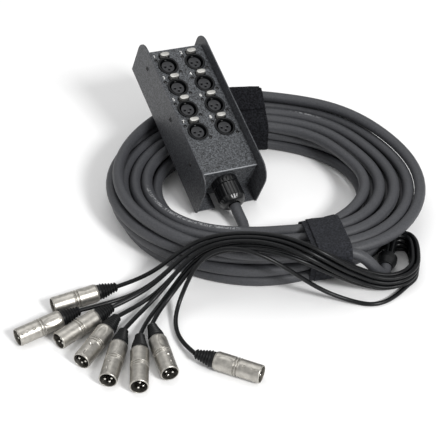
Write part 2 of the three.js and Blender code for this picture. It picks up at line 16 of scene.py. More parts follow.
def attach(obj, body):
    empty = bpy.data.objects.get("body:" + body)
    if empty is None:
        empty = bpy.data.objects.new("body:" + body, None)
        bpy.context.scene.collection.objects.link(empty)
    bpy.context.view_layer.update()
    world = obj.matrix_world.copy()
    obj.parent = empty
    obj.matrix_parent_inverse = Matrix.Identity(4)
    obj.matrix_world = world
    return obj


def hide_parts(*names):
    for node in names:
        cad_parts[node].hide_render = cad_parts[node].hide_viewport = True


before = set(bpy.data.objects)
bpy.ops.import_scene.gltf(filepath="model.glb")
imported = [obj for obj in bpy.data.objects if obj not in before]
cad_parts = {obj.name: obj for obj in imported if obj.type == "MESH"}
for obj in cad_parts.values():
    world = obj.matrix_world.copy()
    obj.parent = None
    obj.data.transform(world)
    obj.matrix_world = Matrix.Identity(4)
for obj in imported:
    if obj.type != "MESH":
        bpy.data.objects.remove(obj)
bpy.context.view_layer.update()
MM = 0.001
TURN = 2 * math.pi
print("nodes in the frame:", len(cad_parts))

# %% [markdown]
# ## The camera and the studio
# The photograph looks down at about 39 degrees through a long lens, onto a white table under large soft
# lamps. A camera object with the same lens and pitch comes first. Three area lamps stand in for the
# softboxes, and a white world for the light of the room.

# %% Camera at the photograph's angle
CAMERA_PLACE = (0.027817, -1.248711, 0.923956)
CAMERA_TILT = math.radians(51.117)
CAMERA_LENS, SENSOR_WIDE = 107.316, 36


def new_object(name, data):
    """An object with the data, linked to the scene."""
    made = bpy.data.objects.new(name, data)
    bpy.context.scene.collection.objects.link(made)
    return made


camera_data = bpy.data.cameras.new("studio_camera")
camera_data.lens, camera_data.sensor_width = CAMERA_LENS, SENSOR_WIDE
camera = new_object("studio_camera", camera_data)
camera.location = CAMERA_PLACE
camera.rotation_euler = (CAMERA_TILT, 0, 0)
bpy.context.scene.camera = camera
bpy.context.scene.view_settings.view_transform = "Standard"
print("lens in millimetres:", CAMERA_LENS)

# %% Lamps and the room's light
LAMP_TARGET = (0.04, -0.1, 0.04)
ROOM_LIGHT = 0.55
SOFTBOXES = {  # place, size in metres, watts
    "key_softbox": ((2.08, -2.54, 2.47), 0.8, 132.0),
    "overhead_softbox": ((-0.2, 1.0, 3.2), 2.4, 24.0),
    "side_softbox": ((-2.4, -0.9, 1.4), 1.4, 8.0),
}
for name, (place, size, watts) in SOFTBOXES.items():
    lamp = bpy.data.lights.new(name, "AREA")
    lamp.size, lamp.energy = size, watts
    # a lamp shines along its own -Z, so its Z points away from the target
    turn = Vector(np.subtract(place, LAMP_TARGET)).to_track_quat("Z", "Y").to_matrix().to_4x4()
    new_object(name, lamp).matrix_world = Matrix.Translation(place) @ turn
world = bpy.data.worlds.new("studio_room")
world.use_nodes = True
background = world.node_tree.nodes["Background"]
background.inputs["Color"].default_value = (1, 1, 1, 1)
background.inputs["Strength"].default_value = ROOM_LIGHT
bpy.context.scene.world = world
print("lamps:", len(bpy.data.lights))

# %% [markdown]
# ## Helpers
# Most shapes here are grids: rows of points that run along a piece, and columns that run round it. numpy
# works out the whole grid at once, and one function turns it into a mesh. A second family of helpers makes
# the materials, with one function that adds any shader node and one that turns hex colours to linear.


# %% From a grid of points to a mesh
def patch(points, around=True, loop=False):
    """Faces of a grid of points (rows, columns, 3). around joins the last column to the first, and loop
    the last row to the first. A tube that isn't a loop is closed with one face at each end. Returns the
    points, the faces, the corners' (row, share of the columns) and the end faces."""
    rows, columns = points.shape[:2]
    index = np.arange(rows * columns).reshape(rows, columns)
    if around:
        index = np.hstack([index, index[:, :1]])
    if loop:
        index = np.vstack([index, index[:1]])
    faces = np.stack([index[:-1, :-1], index[:-1, 1:], index[1:, 1:], index[1:, :-1]], axis=-1)
    high, wide = faces.shape[:2]
    row, column = np.meshgrid(np.arange(high), np.arange(wide), indexing="ij")
    corners = np.stack([
        np.stack([row + up, (column + right) / wide], -1) for up, right in ((0, 0), (0, 1), (1, 1), (1, 0))
    ], axis=2)
    ends = []
    if around and not loop:
        ends = [np.arange(columns)[::-1], (rows - 1) * columns + np.arange(columns)]
    return points.reshape(-1, 3), faces.reshape(-1, 4), corners.reshape(-1, 4, 2), ends


def build_mesh(name, patches, row_lengths=None, sharp=35):
    """One mesh from several patches. The UV map holds (length along the piece, share round it)."""
    points, faces, coordinates, start = [], [], [], 0
    for verts, quads, corners, ends in patches:
        if row_lengths is not None:
            along = np.interp(corners[..., 0], np.arange(len(row_lengths)), row_lengths)
            corners = np.stack([along, corners[..., 1]], -1)
        points.append(verts)
        faces += (quads + start).tolist()
        coordinates.append(corners.reshape(-1, 2))
        for end in ends:
            faces.append((end + start).tolist())
            coordinates.append(np.zeros((len(end), 2)))
        start += len(verts)
    mesh = bpy.data.meshes.new(name)
    mesh.from_pydata(np.vstack(points).tolist(), [], faces)
    layer = mesh.uv_layers.new(name="UVMap")
    layer.data.foreach_set("uv", np.vstack(coordinates).astype(np.float32).ravel())
    mesh.polygons.foreach_set("use_smooth", np.ones(len(mesh.polygons), bool))
    mesh.set_sharp_from_angle(angle=math.radians(sharp))
    mesh.update()
    return mesh


def piece(name, shape, finish, slot=None, replaces=(), body="box", **mesh_values):
    """Links a shape, which is a mesh or the patches of one, as a piece that rides on a body."""
    mesh = shape if isinstance(shape, bpy.types.Mesh) else build_mesh(name, shape, **mesh_values)
    made = new_object(name, mesh)
    mesh.materials.append(finish)
    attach(made, body)
    if replaces:
        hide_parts(*replaces)
    return made


# %% Directions and places
def unit(vectors):
    """The same directions with length 1."""
    return vectors / np.linalg.norm(vectors, axis=-1, keepdims=True)


def square_to(ahead):
    """Unit directions, with a level side and an up that are square to them."""
    ahead = unit(ahead)
    side = unit(np.stack([-ahead[..., 1], ahead[..., 0], 0 * ahead[..., 0]], axis=-1))
    return ahead, side, np.cross(ahead, side)


def frame_along(origin, ahead):
    """A 4 by 4 place whose third axis is ahead and whose first is level."""
    ahead, side, up = square_to(np.array(ahead, float))
    place = np.eye(4)
    place[:3] = np.stack([side, up, ahead, origin], axis=1)
    return place


def put(points, place):
    """Points carried by a 4 by 4 place."""
    return points @ place[:3, :3].T + place[:3, 3]


def moved(x, y, z=0.0):
    """The place at x, y, z, unturned."""
    return np.array(Matrix.Translation((x, y, z)))


# %% Soft steps and even angles
def even_angles(count):
    """Angles in even steps once round."""
    return np.arange(count) * TURN / count


def ramp(value):
    """The value held between 0 and 1."""
    return np.clip(value, 0.0, 1.0)


def smooth(value):
    """A ramp with soft ends: x x (3 - 2 x)."""
    x = ramp(value)
    return x * x * (3 - 2 * x)


def mix(low, high, share):
    """low at share 0 and high at share 1: low + (high - low) share."""
    return low + (high - low) * share


# %% Profiles, turned shapes and tubes
NEAR_AXIS = 0.05 * MM  # a turned solid stops this far from its axis, and its end face closes the rest
BETWEEN = np.linspace(0, 1, 40, endpoint=False)[:, None, None]  # shares of the way to the next point


def rounded(profile, radius, steps=4, closed=False):
    """Rounds the corners of a polyline: each corner becomes a short curve that starts and ends at most
    radius from it, with the corner as its control point."""
    p = np.asarray(profile, float)
    back, ahead = np.roll(p, 1, axis=0) - p, np.roll(p, -1, axis=0) - p
    long_back, long_ahead = (np.linalg.norm(way, axis=1, keepdims=True) + 1e-12 for way in (back, ahead))
    cut = np.minimum(radius, np.minimum(long_back, long_ahead) / 2)
    start, end = p + back / long_back * cut, p + ahead / long_ahead * cut
    t = np.linspace(0, 1, steps)[None, :, None]
    curve = start[:, None] * (1 - t) ** 2 + 2 * p[:, None] * t * (1 - t) + end[:, None] * t ** 2
    if closed:
        return curve.reshape(-1, 2)
    return np.vstack([p[:1], curve[1:-1].reshape(-1, 2), p[-1:]])


def rod(radius, low, high, edge, steps=4):
    """The profile of a solid rod with rounded edges, from low to high along its axis."""
    return rounded([(NEAR_AXIS, low), (radius, low), (radius, high), (NEAR_AXIS, high)], edge, steps)


def turned(profile, steps, place, relief=None):
    """A profile of (radius, along) pairs turned about the place's third axis. relief(angle, along) is
    added to the radius."""
    angle = even_angles(steps)
    radius, along = (np.tile(part[:, None], steps) for part in np.asarray(profile, float).T)
    if relief is not None:
        radius = radius + relief(angle + 0 * along, along)
    return put(np.stack([radius * np.cos(angle), radius * np.sin(angle), along], axis=-1), place)


def lengths_along(line):
    """The length from the first point to each point."""
    return np.concatenate([[0], np.cumsum(np.linalg.norm(np.diff(line, axis=0), axis=1))])


def even_steps(line, step):
    """The same line with its points an even step apart."""
    along = lengths_along(line)
    wanted = np.linspace(0, along[-1], max(math.ceil(along[-1] / step), 2) + 1)
    return np.stack([np.interp(wanted, along, line[:, k]) for k in range(3)], axis=1)


def smooth_route(points, step):
    """A centripetal Catmull-Rom curve through the points, cut again into even steps."""
    p = np.asarray(points, float)
    p = np.vstack([2 * p[0] - p[1], p, 2 * p[-1] - p[-2]])
    d = np.sqrt(np.linalg.norm(np.diff(p, axis=0), axis=1))[:, None]
    d0, d1, d2 = d[:-2], d[1:-1], d[2:]
    a, b, c, e = p[:-3], p[1:-2], p[2:-1], p[3:]
    leave = d1 * ((b - a) / d0 - (c - a) / (d0 + d1) + (c - b) / d1)
    arrive = d1 * ((c - b) / d1 - (e - b) / (d1 + d2) + (e - c) / d2)
    t = BETWEEN
    curve = (1 + 2 * t) * (1 - t) ** 2 * b + t * (1 - t) ** 2 * leave
    curve = curve + t ** 2 * (3 - 2 * t) * c + t ** 2 * (t - 1) * arrive
    return even_steps(np.vstack([curve.transpose(1, 0, 2).reshape(-1, 3), p[-2:-1]]), step)


def tube_grid(line, radius, sides):
    """Rings of a round tube: centre + radius (cos side + sin up) at every point of the line."""
    _, side, up = square_to(np.gradient(line, axis=0))
    angle = even_angles(sides)[:, None]
    return line[:, None] + radius * (np.cos(angle) * side[:, None] + np.sin(angle) * up[:, None])


# %% Colours and shader nodes
NOISE_SPAN = (0.3, 0.7)  # most of a noise lies between these shares


def linear(colour):
    """A hex sRGB colour as linear light: c / 12.92 near black, else ((c + 0.055) / 1.055) to the 2.4."""
    parts = [int(colour[k:k + 2], 16) / 255 for k in (1, 3, 5)]
    return (*(c / 12.92 if c <= 0.04045 else ((c + 0.055) / 1.055) ** 2.4 for c in parts), 1.0)


def connect(node, inputs):
    """Gives a node's inputs their values, or links them from sockets."""
    for name, value in inputs.items():
        if isinstance(value, bpy.types.NodeSocket):
            node.id_data.links.new(value, node.inputs[name])
        else:
            node.inputs[name].default_value = value


def add_node(tree, kind, inputs=None, **settings):
    """Adds one shader node. inputs are values, or sockets to link from."""
    made = tree.nodes.new(kind)
    for name, value in settings.items():
        setattr(made, name, value)
    connect(made, inputs or {})
    return made


def new_finish(name, values, *grains):
    """A material whose own shader has the values, with one noise for each grain (size in metres, detail,
    roughness). Returns the material, its shader and each noise."""
    made = bpy.data.materials.new(name)
    made.use_nodes = True
    tree = made.node_tree
    shader = tree.nodes["Principled BSDF"]
    connect(shader, values)
    place = add_node(tree, "ShaderNodeTexCoord").outputs["Object"]
    return made, shader, *[add_node(tree, "ShaderNodeTexNoise", {
        "Vector": place, "Scale": 1 / size, "Detail": detail, "Roughness": rough,
    }).outputs["Fac"] for size, detail, rough in grains]


def dress(shader, blot, colours, fine, gloss, depth, span=NOISE_SPAN, strength=1.0):
    """blot, a share from 0 to 1, chooses between two hex colours over its span. fine moves the roughness
    between the two of gloss and raises a relief of depth metres. Returns the colour."""
    tree = shader.id_data
    tint = add_node(tree, "ShaderNodeValToRGB", {"Fac": blot})
    for element, position, colour in zip(tint.color_ramp.elements, span, colours):
        element.position, element.color = position, linear(colour)
    bump = add_node(tree, "ShaderNodeBump", {"Height": fine, "Distance": depth, "Strength": strength})
    connect(shader, {"Base Color": tint.outputs["Color"], "Normal": bump.outputs["Normal"]})
    if gloss:
        rough = add_node(tree, "ShaderNodeMapRange", {
            "Value": fine, "From Min": NOISE_SPAN[0], "From Max": NOISE_SPAN[1],
            "To Min": gloss[0], "To Max": gloss[1]})
        connect(shader, {"Roughness": rough.outputs["Result"]})
    return tint.outputs["Color"]


# %% [markdown]
# ## The box's own frame
# The box leans on the coil, so nothing on it is square to the table. Every detail on it is worked out in
# the box's own axes, X across the panel, Y up the panel and Z out of it, and carried into place by one
# matrix, the same turn as in the CAD model.

# %% How the box leans, and its eight places
BOX_HEADING, BOX_LEAN, BOX_ROLL = 23.46, 22.08, 6.26
BOX_PLACE = (-0.000903, 0.012469, 0.090656)
COLUMN_HALF, ROW_PITCH, ROWS = 16.86 * MM, 31.4 * MM, 4
PANEL_FOOT = -104 * MM
box_matrix = Matrix.Translation(BOX_PLACE)
for degrees, axis in ((BOX_HEADING, "Z"), (BOX_LEAN, "X"), (BOX_ROLL, "Y")):
    box_matrix = box_matrix @ Matrix.Rotation(math.radians(degrees), 4, axis)
box_frame = np.array(box_matrix)
places = [
    (side * COLUMN_HALF, ((ROWS - 1) / 2 - row) * ROW_PITCH)
    for row in range(ROWS) for side in (-1, 1)
]


def on_panel(x, y, z=0.0):
    """The place of a part that stands on the panel at x, y."""
    return box_frame @ moved(x, y, z)


def in_box(x, y, z):
    """A point in the box's axes, in the frame of the whole object."""
    return put(np.array([x, y, z]), box_frame)


print("socket places:", len(places))

# %% [markdown]
# ## The finishes
# Every material starts from what the real one is: textured powder coat on steel, extruded soft PVC on the
# cables, glass-filled nylon in the sockets, satin nickel on the zinc shells. Typical index and roughness
# come first, and the grain is set by its real size.

# %% Textured powder coat on the steel box
# Powder coat of the wrinkled kind melts into beads about a millimetre wide, which break up its gloss.
# They are drawn 1.8 mm wide here, because finer ones would vanish at the distance of the camera.
BEAD, BEAD_RELIEF = 1.8 * MM, 0.25 * MM
# A painted highlight: the fold at the panel's lower edge is drawn as a paler line, where the lamps'
# reflection on the bend falls.
FOLD_HIGHLIGHT_WIDE, FOLD_HIGHLIGHT_COLOUR = 1.3 * MM, "#a9acb0"


def fold_line(tree):
    """The mask of the painted highlight on the fold: 1 on the fold and 0 away from it, from the distance to
    the fold's line, which runs along the box's X axis at the panel's foot."""
    far = add_node(tree, "ShaderNodeMapping", {
        "Vector": add_node(tree, "ShaderNodeTexCoord").outputs["Object"],
        "Location": BOX_PLACE, "Rotation": tuple(box_matrix.to_euler("XYZ")),
    }, vector_type="TEXTURE")
    steps = (("SUBTRACT", (0, PANEL_FOOT, 0)), ("MULTIPLY", (0, 1, 1)), ("LENGTH", (0, 0, 0)))
    for operation, other in steps:
        far = add_node(tree, "ShaderNodeVectorMath", {0: far.outputs[0], 1: other}, operation=operation)
    return add_node(tree, "ShaderNodeMapRange", {
        "Value": far.outputs["Value"], "From Min": FOLD_HIGHLIGHT_WIDE / 2, "From Max": FOLD_HIGHLIGHT_WIDE,
        "To Min": 1.0, "To Max": 0.0}).outputs["Result"]


def powder_coat(name, colours, highlight_fold=False):
    """Beads that carry the colour, the gloss and the relief. The fold can get a painted highlight: a paler
    line along it.
    """
    made, shader, beads = new_finish(name, {"IOR": 1.5}, (BEAD, 2.0, 0.7))
    tint = dress(shader, beads, colours, beads, (0.58, 0.4), BEAD_RELIEF, (0.38, 0.66))
    if highlight_fold:
        tree = shader.id_data
        # painted highlight: the paler line along the fold stands in for the lamps' reflection on the bend
        painted_highlight = add_node(tree, "ShaderNodeMix", {
            "Factor": fold_line(tree), 6: tint, 7: linear(FOLD_HIGHLIGHT_COLOUR)}, data_type="RGBA")
        connect(shader, {"Base Color": painted_highlight.outputs[2]})
    return made


# the cover's paint carries the painted highlight along its fold
panel_paint = powder_coat("textured_powder_coat", ("#151618", "#5d6064"), highlight_fold=True)
cheek_paint = powder_coat("powder_coat_sides", ("#242528", "#4d4f53"))
print("powder coats:", panel_paint.name, cheek_paint.name)

# %% Soft PVC of the multicore jacket, with its marks
# Matt extruded PVC has faint lengthwise drag marks, and ink-jet marks of a few millimetres. The marks lie
# in a narrow line along the cable, at one share of the way round, in cells that are inked or not.
PLASTIC_IOR = 1.53
SKIN_GRAIN, DRAG_RELIEF, DRAG_SCALE = 1.6 * MM, 0.05 * MM, (20.0, 60.0, 1.0)
PRINT_MIDDLE, PRINT_HALF, PRINT_INK = 0.27, 0.045, "#77787a"
MARK_CELL, CELLS_ROUND = 1.3 * MM, 26.0


def pvc_jacket():
    """A skin of two greys, drag marks drawn out along the cable, and the ink: 1 where a mark's cell is
    inked, inside the line's width, on the stretches that carry print."""
    made, shader, skin = new_finish("soft_pvc_jacket", {"IOR": PLASTIC_IOR}, (SKIN_GRAIN, 3.0, 0.5))
    tree = shader.id_data
    along = add_node(tree, "ShaderNodeTexCoord").outputs["UV"]
    drawn = add_node(tree, "ShaderNodeMapping", {"Vector": along, "Scale": DRAG_SCALE})
    drag = add_node(tree, "ShaderNodeTexNoise", {
        "Vector": drawn.outputs["Vector"], "Scale": 1.0, "Detail": 2.0, "Roughness": 0.5}).outputs["Fac"]
    base = dress(shader, skin, ("#303134", "#3f4044"), drag, (0.5, 0.62), DRAG_RELIEF, strength=0.6)
    cells = add_node(tree, "ShaderNodeMapping", {
        "Vector": along, "Scale": (1 / MARK_CELL, CELLS_ROUND, 1.0)})
    cells = add_node(tree, "ShaderNodeVectorMath", {0: cells.outputs["Vector"]}, operation="FLOOR")
    marks = add_node(tree, "ShaderNodeTexWhiteNoise", {"Vector": cells.outputs["Vector"]})
    marks = add_node(tree, "ShaderNodeMath", {0: marks.outputs["Value"], 1: 0.5}, operation="GREATER_THAN")
    here = add_node(tree, "ShaderNodeAttribute", attribute_name="printed")
    ink = add_node(tree, "ShaderNodeSeparateXYZ", {"Vector": along}).outputs["Y"]
    for operation, other in (
        ("SUBTRACT", PRINT_MIDDLE), ("ABSOLUTE", 0.0), ("LESS_THAN", PRINT_HALF),
        ("MULTIPLY", marks.outputs[0]), ("MULTIPLY", here.outputs["Fac"]),
    ):
        ink = add_node(tree, "ShaderNodeMath", {0: ink, 1: other}, operation=operation).outputs[0]
    inked = add_node(
        tree, "ShaderNodeMix", {"Factor": ink, 6: base, 7: linear(PRINT_INK)}, data_type="RGBA")
    connect(shader, {"Base Color": inked.outputs[2]})
    return made


jacket = pvc_jacket()
print("cable finish:", jacket.name)

# %% Thin tail cables, mouldings and metals
# Each of these is one base colour with a grain of its real size that moves colour, gloss and relief.
# A fine moulded texture traps part of the reflection, which the low specular level stands for.
PLASTIC = {"IOR": PLASTIC_IOR}
MATT_PLASTIC = {"IOR": PLASTIC_IOR, "Specular IOR Level": 0.22}
MATT_RUBBER = {"IOR": 1.5, "Specular IOR Level": 0.22}
INK, METAL = {"IOR": 1.5}, {"Metallic": 1.0}


def grained(name, low, high, size, gloss, depth, values):
    """One grain of size millimetres that moves colour and gloss, with a relief of depth millimetres."""
    made, shader, blot = new_finish(name, values, (size * MM, 3.0, 0.5))
    dress(shader, blot, (low, high), blot, gloss, depth * MM)
    return made


tail_pvc = grained("flexible_pvc_tail", "#060708", "#101113", 2, (0.28, 0.38), 0.02, MATT_PLASTIC)
nylon = grained("glass_filled_nylon", "#08090a", "#121315", 0.8, (0.36, 0.5), 0.02, MATT_PLASTIC)
insert_nylon = grained("matt_nylon_insert", "#1b1c1f", "#27282b", 0.7, (0.5, 0.62), 0.02, PLASTIC)
gloss_nylon = grained("polished_nylon", "#070809", "#101113", 1.5, (0.26, 0.36), 0.02, PLASTIC)
boot_rubber = grained("moulded_tpe_boot", "#0b0c0d", "#151617", 0.6, (0.4, 0.52), 0.03, MATT_RUBBER)
dark_steel = grained("black_zinc_steel", "#2a2a2b", "#4a4a4a", 0.6, (0.3, 0.45), 0.01, METAL)
pin_silver = grained("silvered_brass", "#cfccc4", "#e4e2dc", 0.8, (0.14, 0.26), 0.005, METAL)
ink_white = grained("screen_ink", "#d8d8d6", "#ecebe8", 0.4, (0.5, 0.6), 0.01, INK)
print("mouldings and metals, first and last:", tail_pvc.name, ink_white.name)

# %% Satin nickel on the zinc shells and tabs
# Plated zinc die castings keep fine tumbling marks, drawn here 0.3 mm wide so that they still show, on a
# tone that drifts over about 5 mm.
CLOUD, TUMBLE_MARK, TUMBLE_RELIEF = 5 * MM, 0.3 * MM, 0.006 * MM


def satin_nickel(name, colours, gloss):
    """A slow drift of tone, with the fine marks in the gloss and the relief."""
    made, shader, cloud, fine = new_finish(name, METAL, (CLOUD, 3.0, 0.5), (TUMBLE_MARK, 2.0, 0.5))
    dress(shader, cloud, colours, fine, gloss, TUMBLE_RELIEF)
    return made


shell_nickel = satin_nickel("satin_nickel", ("#a19e98", "#bfbcb5"), (0.34, 0.46))
tab_nickel = satin_nickel("brushed_nickel_tab", ("#b2b1ad", "#cccbc7"), (0.5, 0.64))
print("nickel finishes:", shell_nickel.name, tab_nickel.name)

# %% Hook-and-loop tape, its woven back and its looped pile
# Knitted nylon loops stand about 1 mm proud and scatter light, so the tape is dull with a soft edge sheen.
# The tufts are drawn twice their real size, so that the camera still sees them.
TUFT, PILE_CLOUD = 2.2 * MM, 3 * MM
LOOPED = {"Roughness": 0.92, "Specular IOR Level": 0.1, "Sheen Weight": 0.06, "Sheen Roughness": 0.5,
          "Sheen Tint": linear("#8a8c90")}


def hook_tape(name, colours, depth):
    """Tufts in cells, times a cloudy noise, choose the colour and the relief."""
    made, shader, cloud = new_finish(name, LOOPED, (PILE_CLOUD, 4.0, 0.7))
    tree = shader.id_data
    tufts = add_node(tree, "ShaderNodeTexVoronoi", {
        "Vector": add_node(tree, "ShaderNodeTexCoord").outputs["Object"],
        "Scale": 1 / TUFT, "Randomness": 0.9})
    pile = add_node(tree, "ShaderNodeMath", {
        0: tufts.outputs["Distance"], 1: cloud}, operation="MULTIPLY").outputs[0]
    dress(shader, pile, colours, pile, None, depth, (0.05, 0.5))
    return made


tape_back = hook_tape("woven_nylon_tape", ("#1b1c1e", "#34353a"), 0.3 * MM)
tape_pile = hook_tape("looped_nylon_pile", ("#020203", "#232428"), 1.2 * MM)
print("finishes:", len(bpy.data.materials))

# %% [markdown]
# ## The table
# A white table under the object. A plain diffuse plane keeps the soft shadows that the photograph shows.

# %% White table
TABLE_HALF = 4.0
table_mesh = bpy.data.meshes.new("white_table")
corners = [(-TABLE_HALF, -TABLE_HALF, 0), (TABLE_HALF, -TABLE_HALF, 0), (TABLE_HALF, TABLE_HALF, 0),
           (-TABLE_HALF, TABLE_HALF, 0)]
table_mesh.from_pydata(corners, [], [(0, 1, 2, 3)])
table_finish = new_finish("white_table_laminate", {"Roughness": 0.6, "Base Color": linear("#f6f6f6")})[0]
table_mesh.materials.append(table_finish)
new_object("white_table", table_mesh)
print("table in metres:", 2 * TABLE_HALF)

# %% [markdown]
# ## The steel channel and cover
# These two CAD nodes already have the right outline. Folded sheet has small bends rather than knife
# edges, so a weld and a bevel modifier round every edge, and the powder coat does the rest.

# %% Rounded edges on the folded sheet
EDGE_ROUND, SEAM, FOLD_ANGLE = 0.5 * MM, 0.01 * MM, 40


def repaint(node_name, finish):
    """Gives a CAD node a better material."""
    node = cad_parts[node_name]
    node.data.materials.clear()
    node.data.materials.append(finish)
    return node


for node_name, finish in (("base_channel", cheek_paint), ("front_cover", panel_paint)):
    node = repaint(node_name, finish)
    node.modifiers.new("weld", "WELD").merge_threshold = SEAM
    bevel = node.modifiers.new("edges", "BEVEL")
    bevel.width, bevel.segments = EDGE_ROUND, 3
    bevel.limit_method, bevel.angle_limit = "ANGLE", math.radians(FOLD_ANGLE)
    bevel.harden_normals = False
    print(node_name, "rounded by", EDGE_ROUND)

# %% [markdown]
# ## The cables
# A cable is a round section carried along its centre line, so its whole form is the route. The multicore
# leaves the gland, winds outward, inward and outward again in four levels and runs under the front strap
# to the sleeve where it splits. The coil's line comes from a formula, the free stretches from a smooth
# curve through a few points, the same as in the CAD model.

# %% The coil's centre line
CABLE, GAP = 12.3 * MM, 0.3 * MM
COIL_MIDDLE = np.array([0.073767, -0.067701])
COIL_LONG, COIL_SHORT = 166 * MM, 146 * MM
COIL_START, COIL_END = 0.3889, 12.2861
COIL_BASE, LAYER_RISE = 6.006 * MM, 12.95 * MM
# The first level winds outward up to one turn count, and the second inward from the other.
OUT_UNTIL, IN_FROM = 3.5, 4.0
# Events on the way, as (turn at which it starts, turns that it takes).
TO_THIRD_LEVEL, TO_SIDE, ROLL_UP, CROSS_OVER, LET_GO = (
    (7.27, 0.25), (11.12, 0.25), (11.40, 0.3), (11.66, 0.16), (12.1, 0.2))
# Offsets from the ellipse in millimetres. Each hump is (height, degrees round the coil, spread).
PITCH, PITCH_WAVES = 15.9, (0.7, -0.2, 0.5)
UPPER_FROM, UPPER_INNER, UPPER_PITCH, UPPER_WAVE = 7.5, -49, 14.65, 1.5
UPPER_HUMPS = ((6, 180, 0.7), (-14, 270, 0.65), (-9, 25, 0.45))
FRONT_DENT, DENT_TURNS = ((-12, -38, 0.5),), 8
SIDE_BY_SIDE, LAST_INNER, LAST_HUMP, LAST_OUT = 12.75, -5, ((12, 118, 0.5),), 8
# The straps' tape lifts the cables off the table there, by millimetres.
STRAP_LIFTS = ((4.6, -66.0, 0.34), (3.2, 97.0, 0.34))


def humps(angle, rows):
    """The sum of bells: height times exp of minus (offset from the centre over the spread) squared."""
    total = 0 * angle
    for high, at, spread in rows:
        off = angle - math.radians(at)
        total = total + high * np.exp(-(np.arctan2(np.sin(off), np.cos(off)) / spread) ** 2)
    return total


def done(u, event):
    """0 before an event and 1 after it, with soft ends."""
    return smooth((u - event[0]) / event[1])


def upper_offset(u):
    """How far the upper levels' turns lie in or out of the ellipse: a spiral outward, with its humps."""
    angle = math.pi + TURN * u
    spiral = (UPPER_PITCH + UPPER_WAVE * np.cos(angle)) * (u - UPPER_FROM)
    return UPPER_INNER + spiral + humps(angle, UPPER_HUMPS)


def coil_points(u):
    """Centre line at u turns: an ellipse, moved in or out by the spiral's offset, level by level. The last
    loop rolls up round its neighbour: it keeps one distance from it, turned by the climb angle."""
    angle = math.pi + TURN * u
    cos, sin = np.cos(angle), np.sin(angle)
    ellipse = 1 / np.hypot(cos / COIL_LONG, sin / COIL_SHORT)
    pitch = PITCH + PITCH_WAVES[0] * cos + PITCH_WAVES[1] * sin + PITCH_WAVES[2] * np.cos(2 * angle)
    off = -(np.maximum(OUT_UNTIL - u, 0) + np.maximum(u - IN_FROM, 0)) * pitch
    off = off + humps(angle, FRONT_DENT) * ramp(1 - u / DENT_TURNS)
    climb = math.pi / 2 * done(u, ROLL_UP)
    beside = upper_offset(u - 1) + SIDE_BY_SIDE * np.cos(climb)
    top = mix(upper_offset(u), beside, done(u, TO_SIDE))
    off = mix(off, top, done(u, TO_THIRD_LEVEL))
    last = LAST_INNER + humps(angle, LAST_HUMP) + LAST_OUT * done(u, LET_GO)
    off = mix(off, last, done(u, CROSS_OVER))
    level = ramp((u - OUT_UNTIL) / (IN_FROM - OUT_UNTIL)) + done(u, TO_THIRD_LEVEL) + np.sin(climb)
    radius = ellipse + off * MM
    height = COIL_BASE + humps(angle, STRAP_LIFTS) * MM + LAYER_RISE * level
    return np.stack([COIL_MIDDLE[0] + radius * cos, COIL_MIDDLE[1] + radius * sin, height], axis=1)


STEPS_PER_TURN = 96
coil_turns = np.linspace(COIL_START, COIL_END, int((COIL_END - COIL_START) * STEPS_PER_TURN))
coil_line = coil_points(coil_turns)
print("coil length in metres:", round(lengths_along(coil_line)[-1], 3))

# %% The lead, the last run and the whole multicore
LEAD_POINTS = np.array([
    (54.6, -133.5, 8.4), (69.6, -146.5, 6.6), (94.6, -150, 6.3), (118.6, -143.5, 6.3),
]) * MM
RUN_POINTS = np.array([
    (134.6, -211.5, 46.8), (157.6, -210.5, 45.8), (171.6, -210.5, 40.8), (182.1, -210.5, 31.3),
    (190.1, -209.5, 20.3),
]) * MM
GLAND_X, GLAND_Z, GLAND_END = -1.9 * MM, -22 * MM, -136.6 * MM
SLEEVE_START = np.array([0.201367, -0.192501, 0.010806])
SLEEVE_AHEAD = unit(np.array([0.26, 0.965, 0.0]))
CABLE_STEP = 6 * MM
BEFORE_COIL = 0.002


def straight(point, ahead):
    """Two points straight ahead of a point: a gap away, and one cable further."""
    return [point + ahead * GAP, point + ahead * (CABLE + GAP)]


start_ahead = unit(coil_line[0] - coil_points(np.array([COIL_START - BEFORE_COIL]))[0])
lead_line = smooth_route([
    *[in_box(GLAND_X, GLAND_END - GAP - k * CABLE, GLAND_Z) for k in range(3)], *LEAD_POINTS,
    *straight(coil_line[0], -start_ahead)[::-1],
], CABLE_STEP)
run_line = smooth_route([
    *straight(coil_line[-1], unit(coil_line[-1] - coil_line[-2])), *RUN_POINTS,
    *straight(SLEEVE_START, -SLEEVE_AHEAD)[::-1],
], CABLE_STEP)
multicore_line = np.vstack([lead_line, coil_line, run_line])

# %% The multicore's skin, with the stretches that carry marks
MULTICORE_SIDES = 20
PRINTED = [(8.03, 8.2), (10.62, 10.68), (9.66, 9.71)]
multicore_mesh = build_mesh("multicore", [patch(tube_grid(multicore_line, CABLE / 2, MULTICORE_SIDES))],
                            lengths_along(multicore_line), sharp=60)
turn_of_row = np.concatenate([np.full(len(lead_line), -1.0), coil_turns, np.full(len(run_line), -1.0)])
printed = np.zeros(len(multicore_line))
for first, last in PRINTED:
    printed[(turn_of_row > first) & (turn_of_row < last)] = 1.0
marks = multicore_mesh.attributes.new("printed", "FLOAT", "POINT")
marks.data.foreach_set("value", np.repeat(printed, MULTICORE_SIDES).astype(np.float32))
multicore = piece("multicore", multicore_mesh, jacket, "cable_jacket",
                  ("multicore_lead", "multicore_coil", "multicore_tail"))
print("rows that carry marks:", int(printed.sum()))

# %% [markdown]
# ## The sleeve and the tails
# A shrunk rubber sleeve covers the split. From its end face the eight tails leave in a bundle two deep and
# four high, turn back along the coil, cross over the front strap and fan out to their plugs. One tail
# leaves the bundle and sags to the table before it climbs back. Each tail's line is the bundle's line
# moved by its own lane, so the tails stay side by side and never cross through each other.

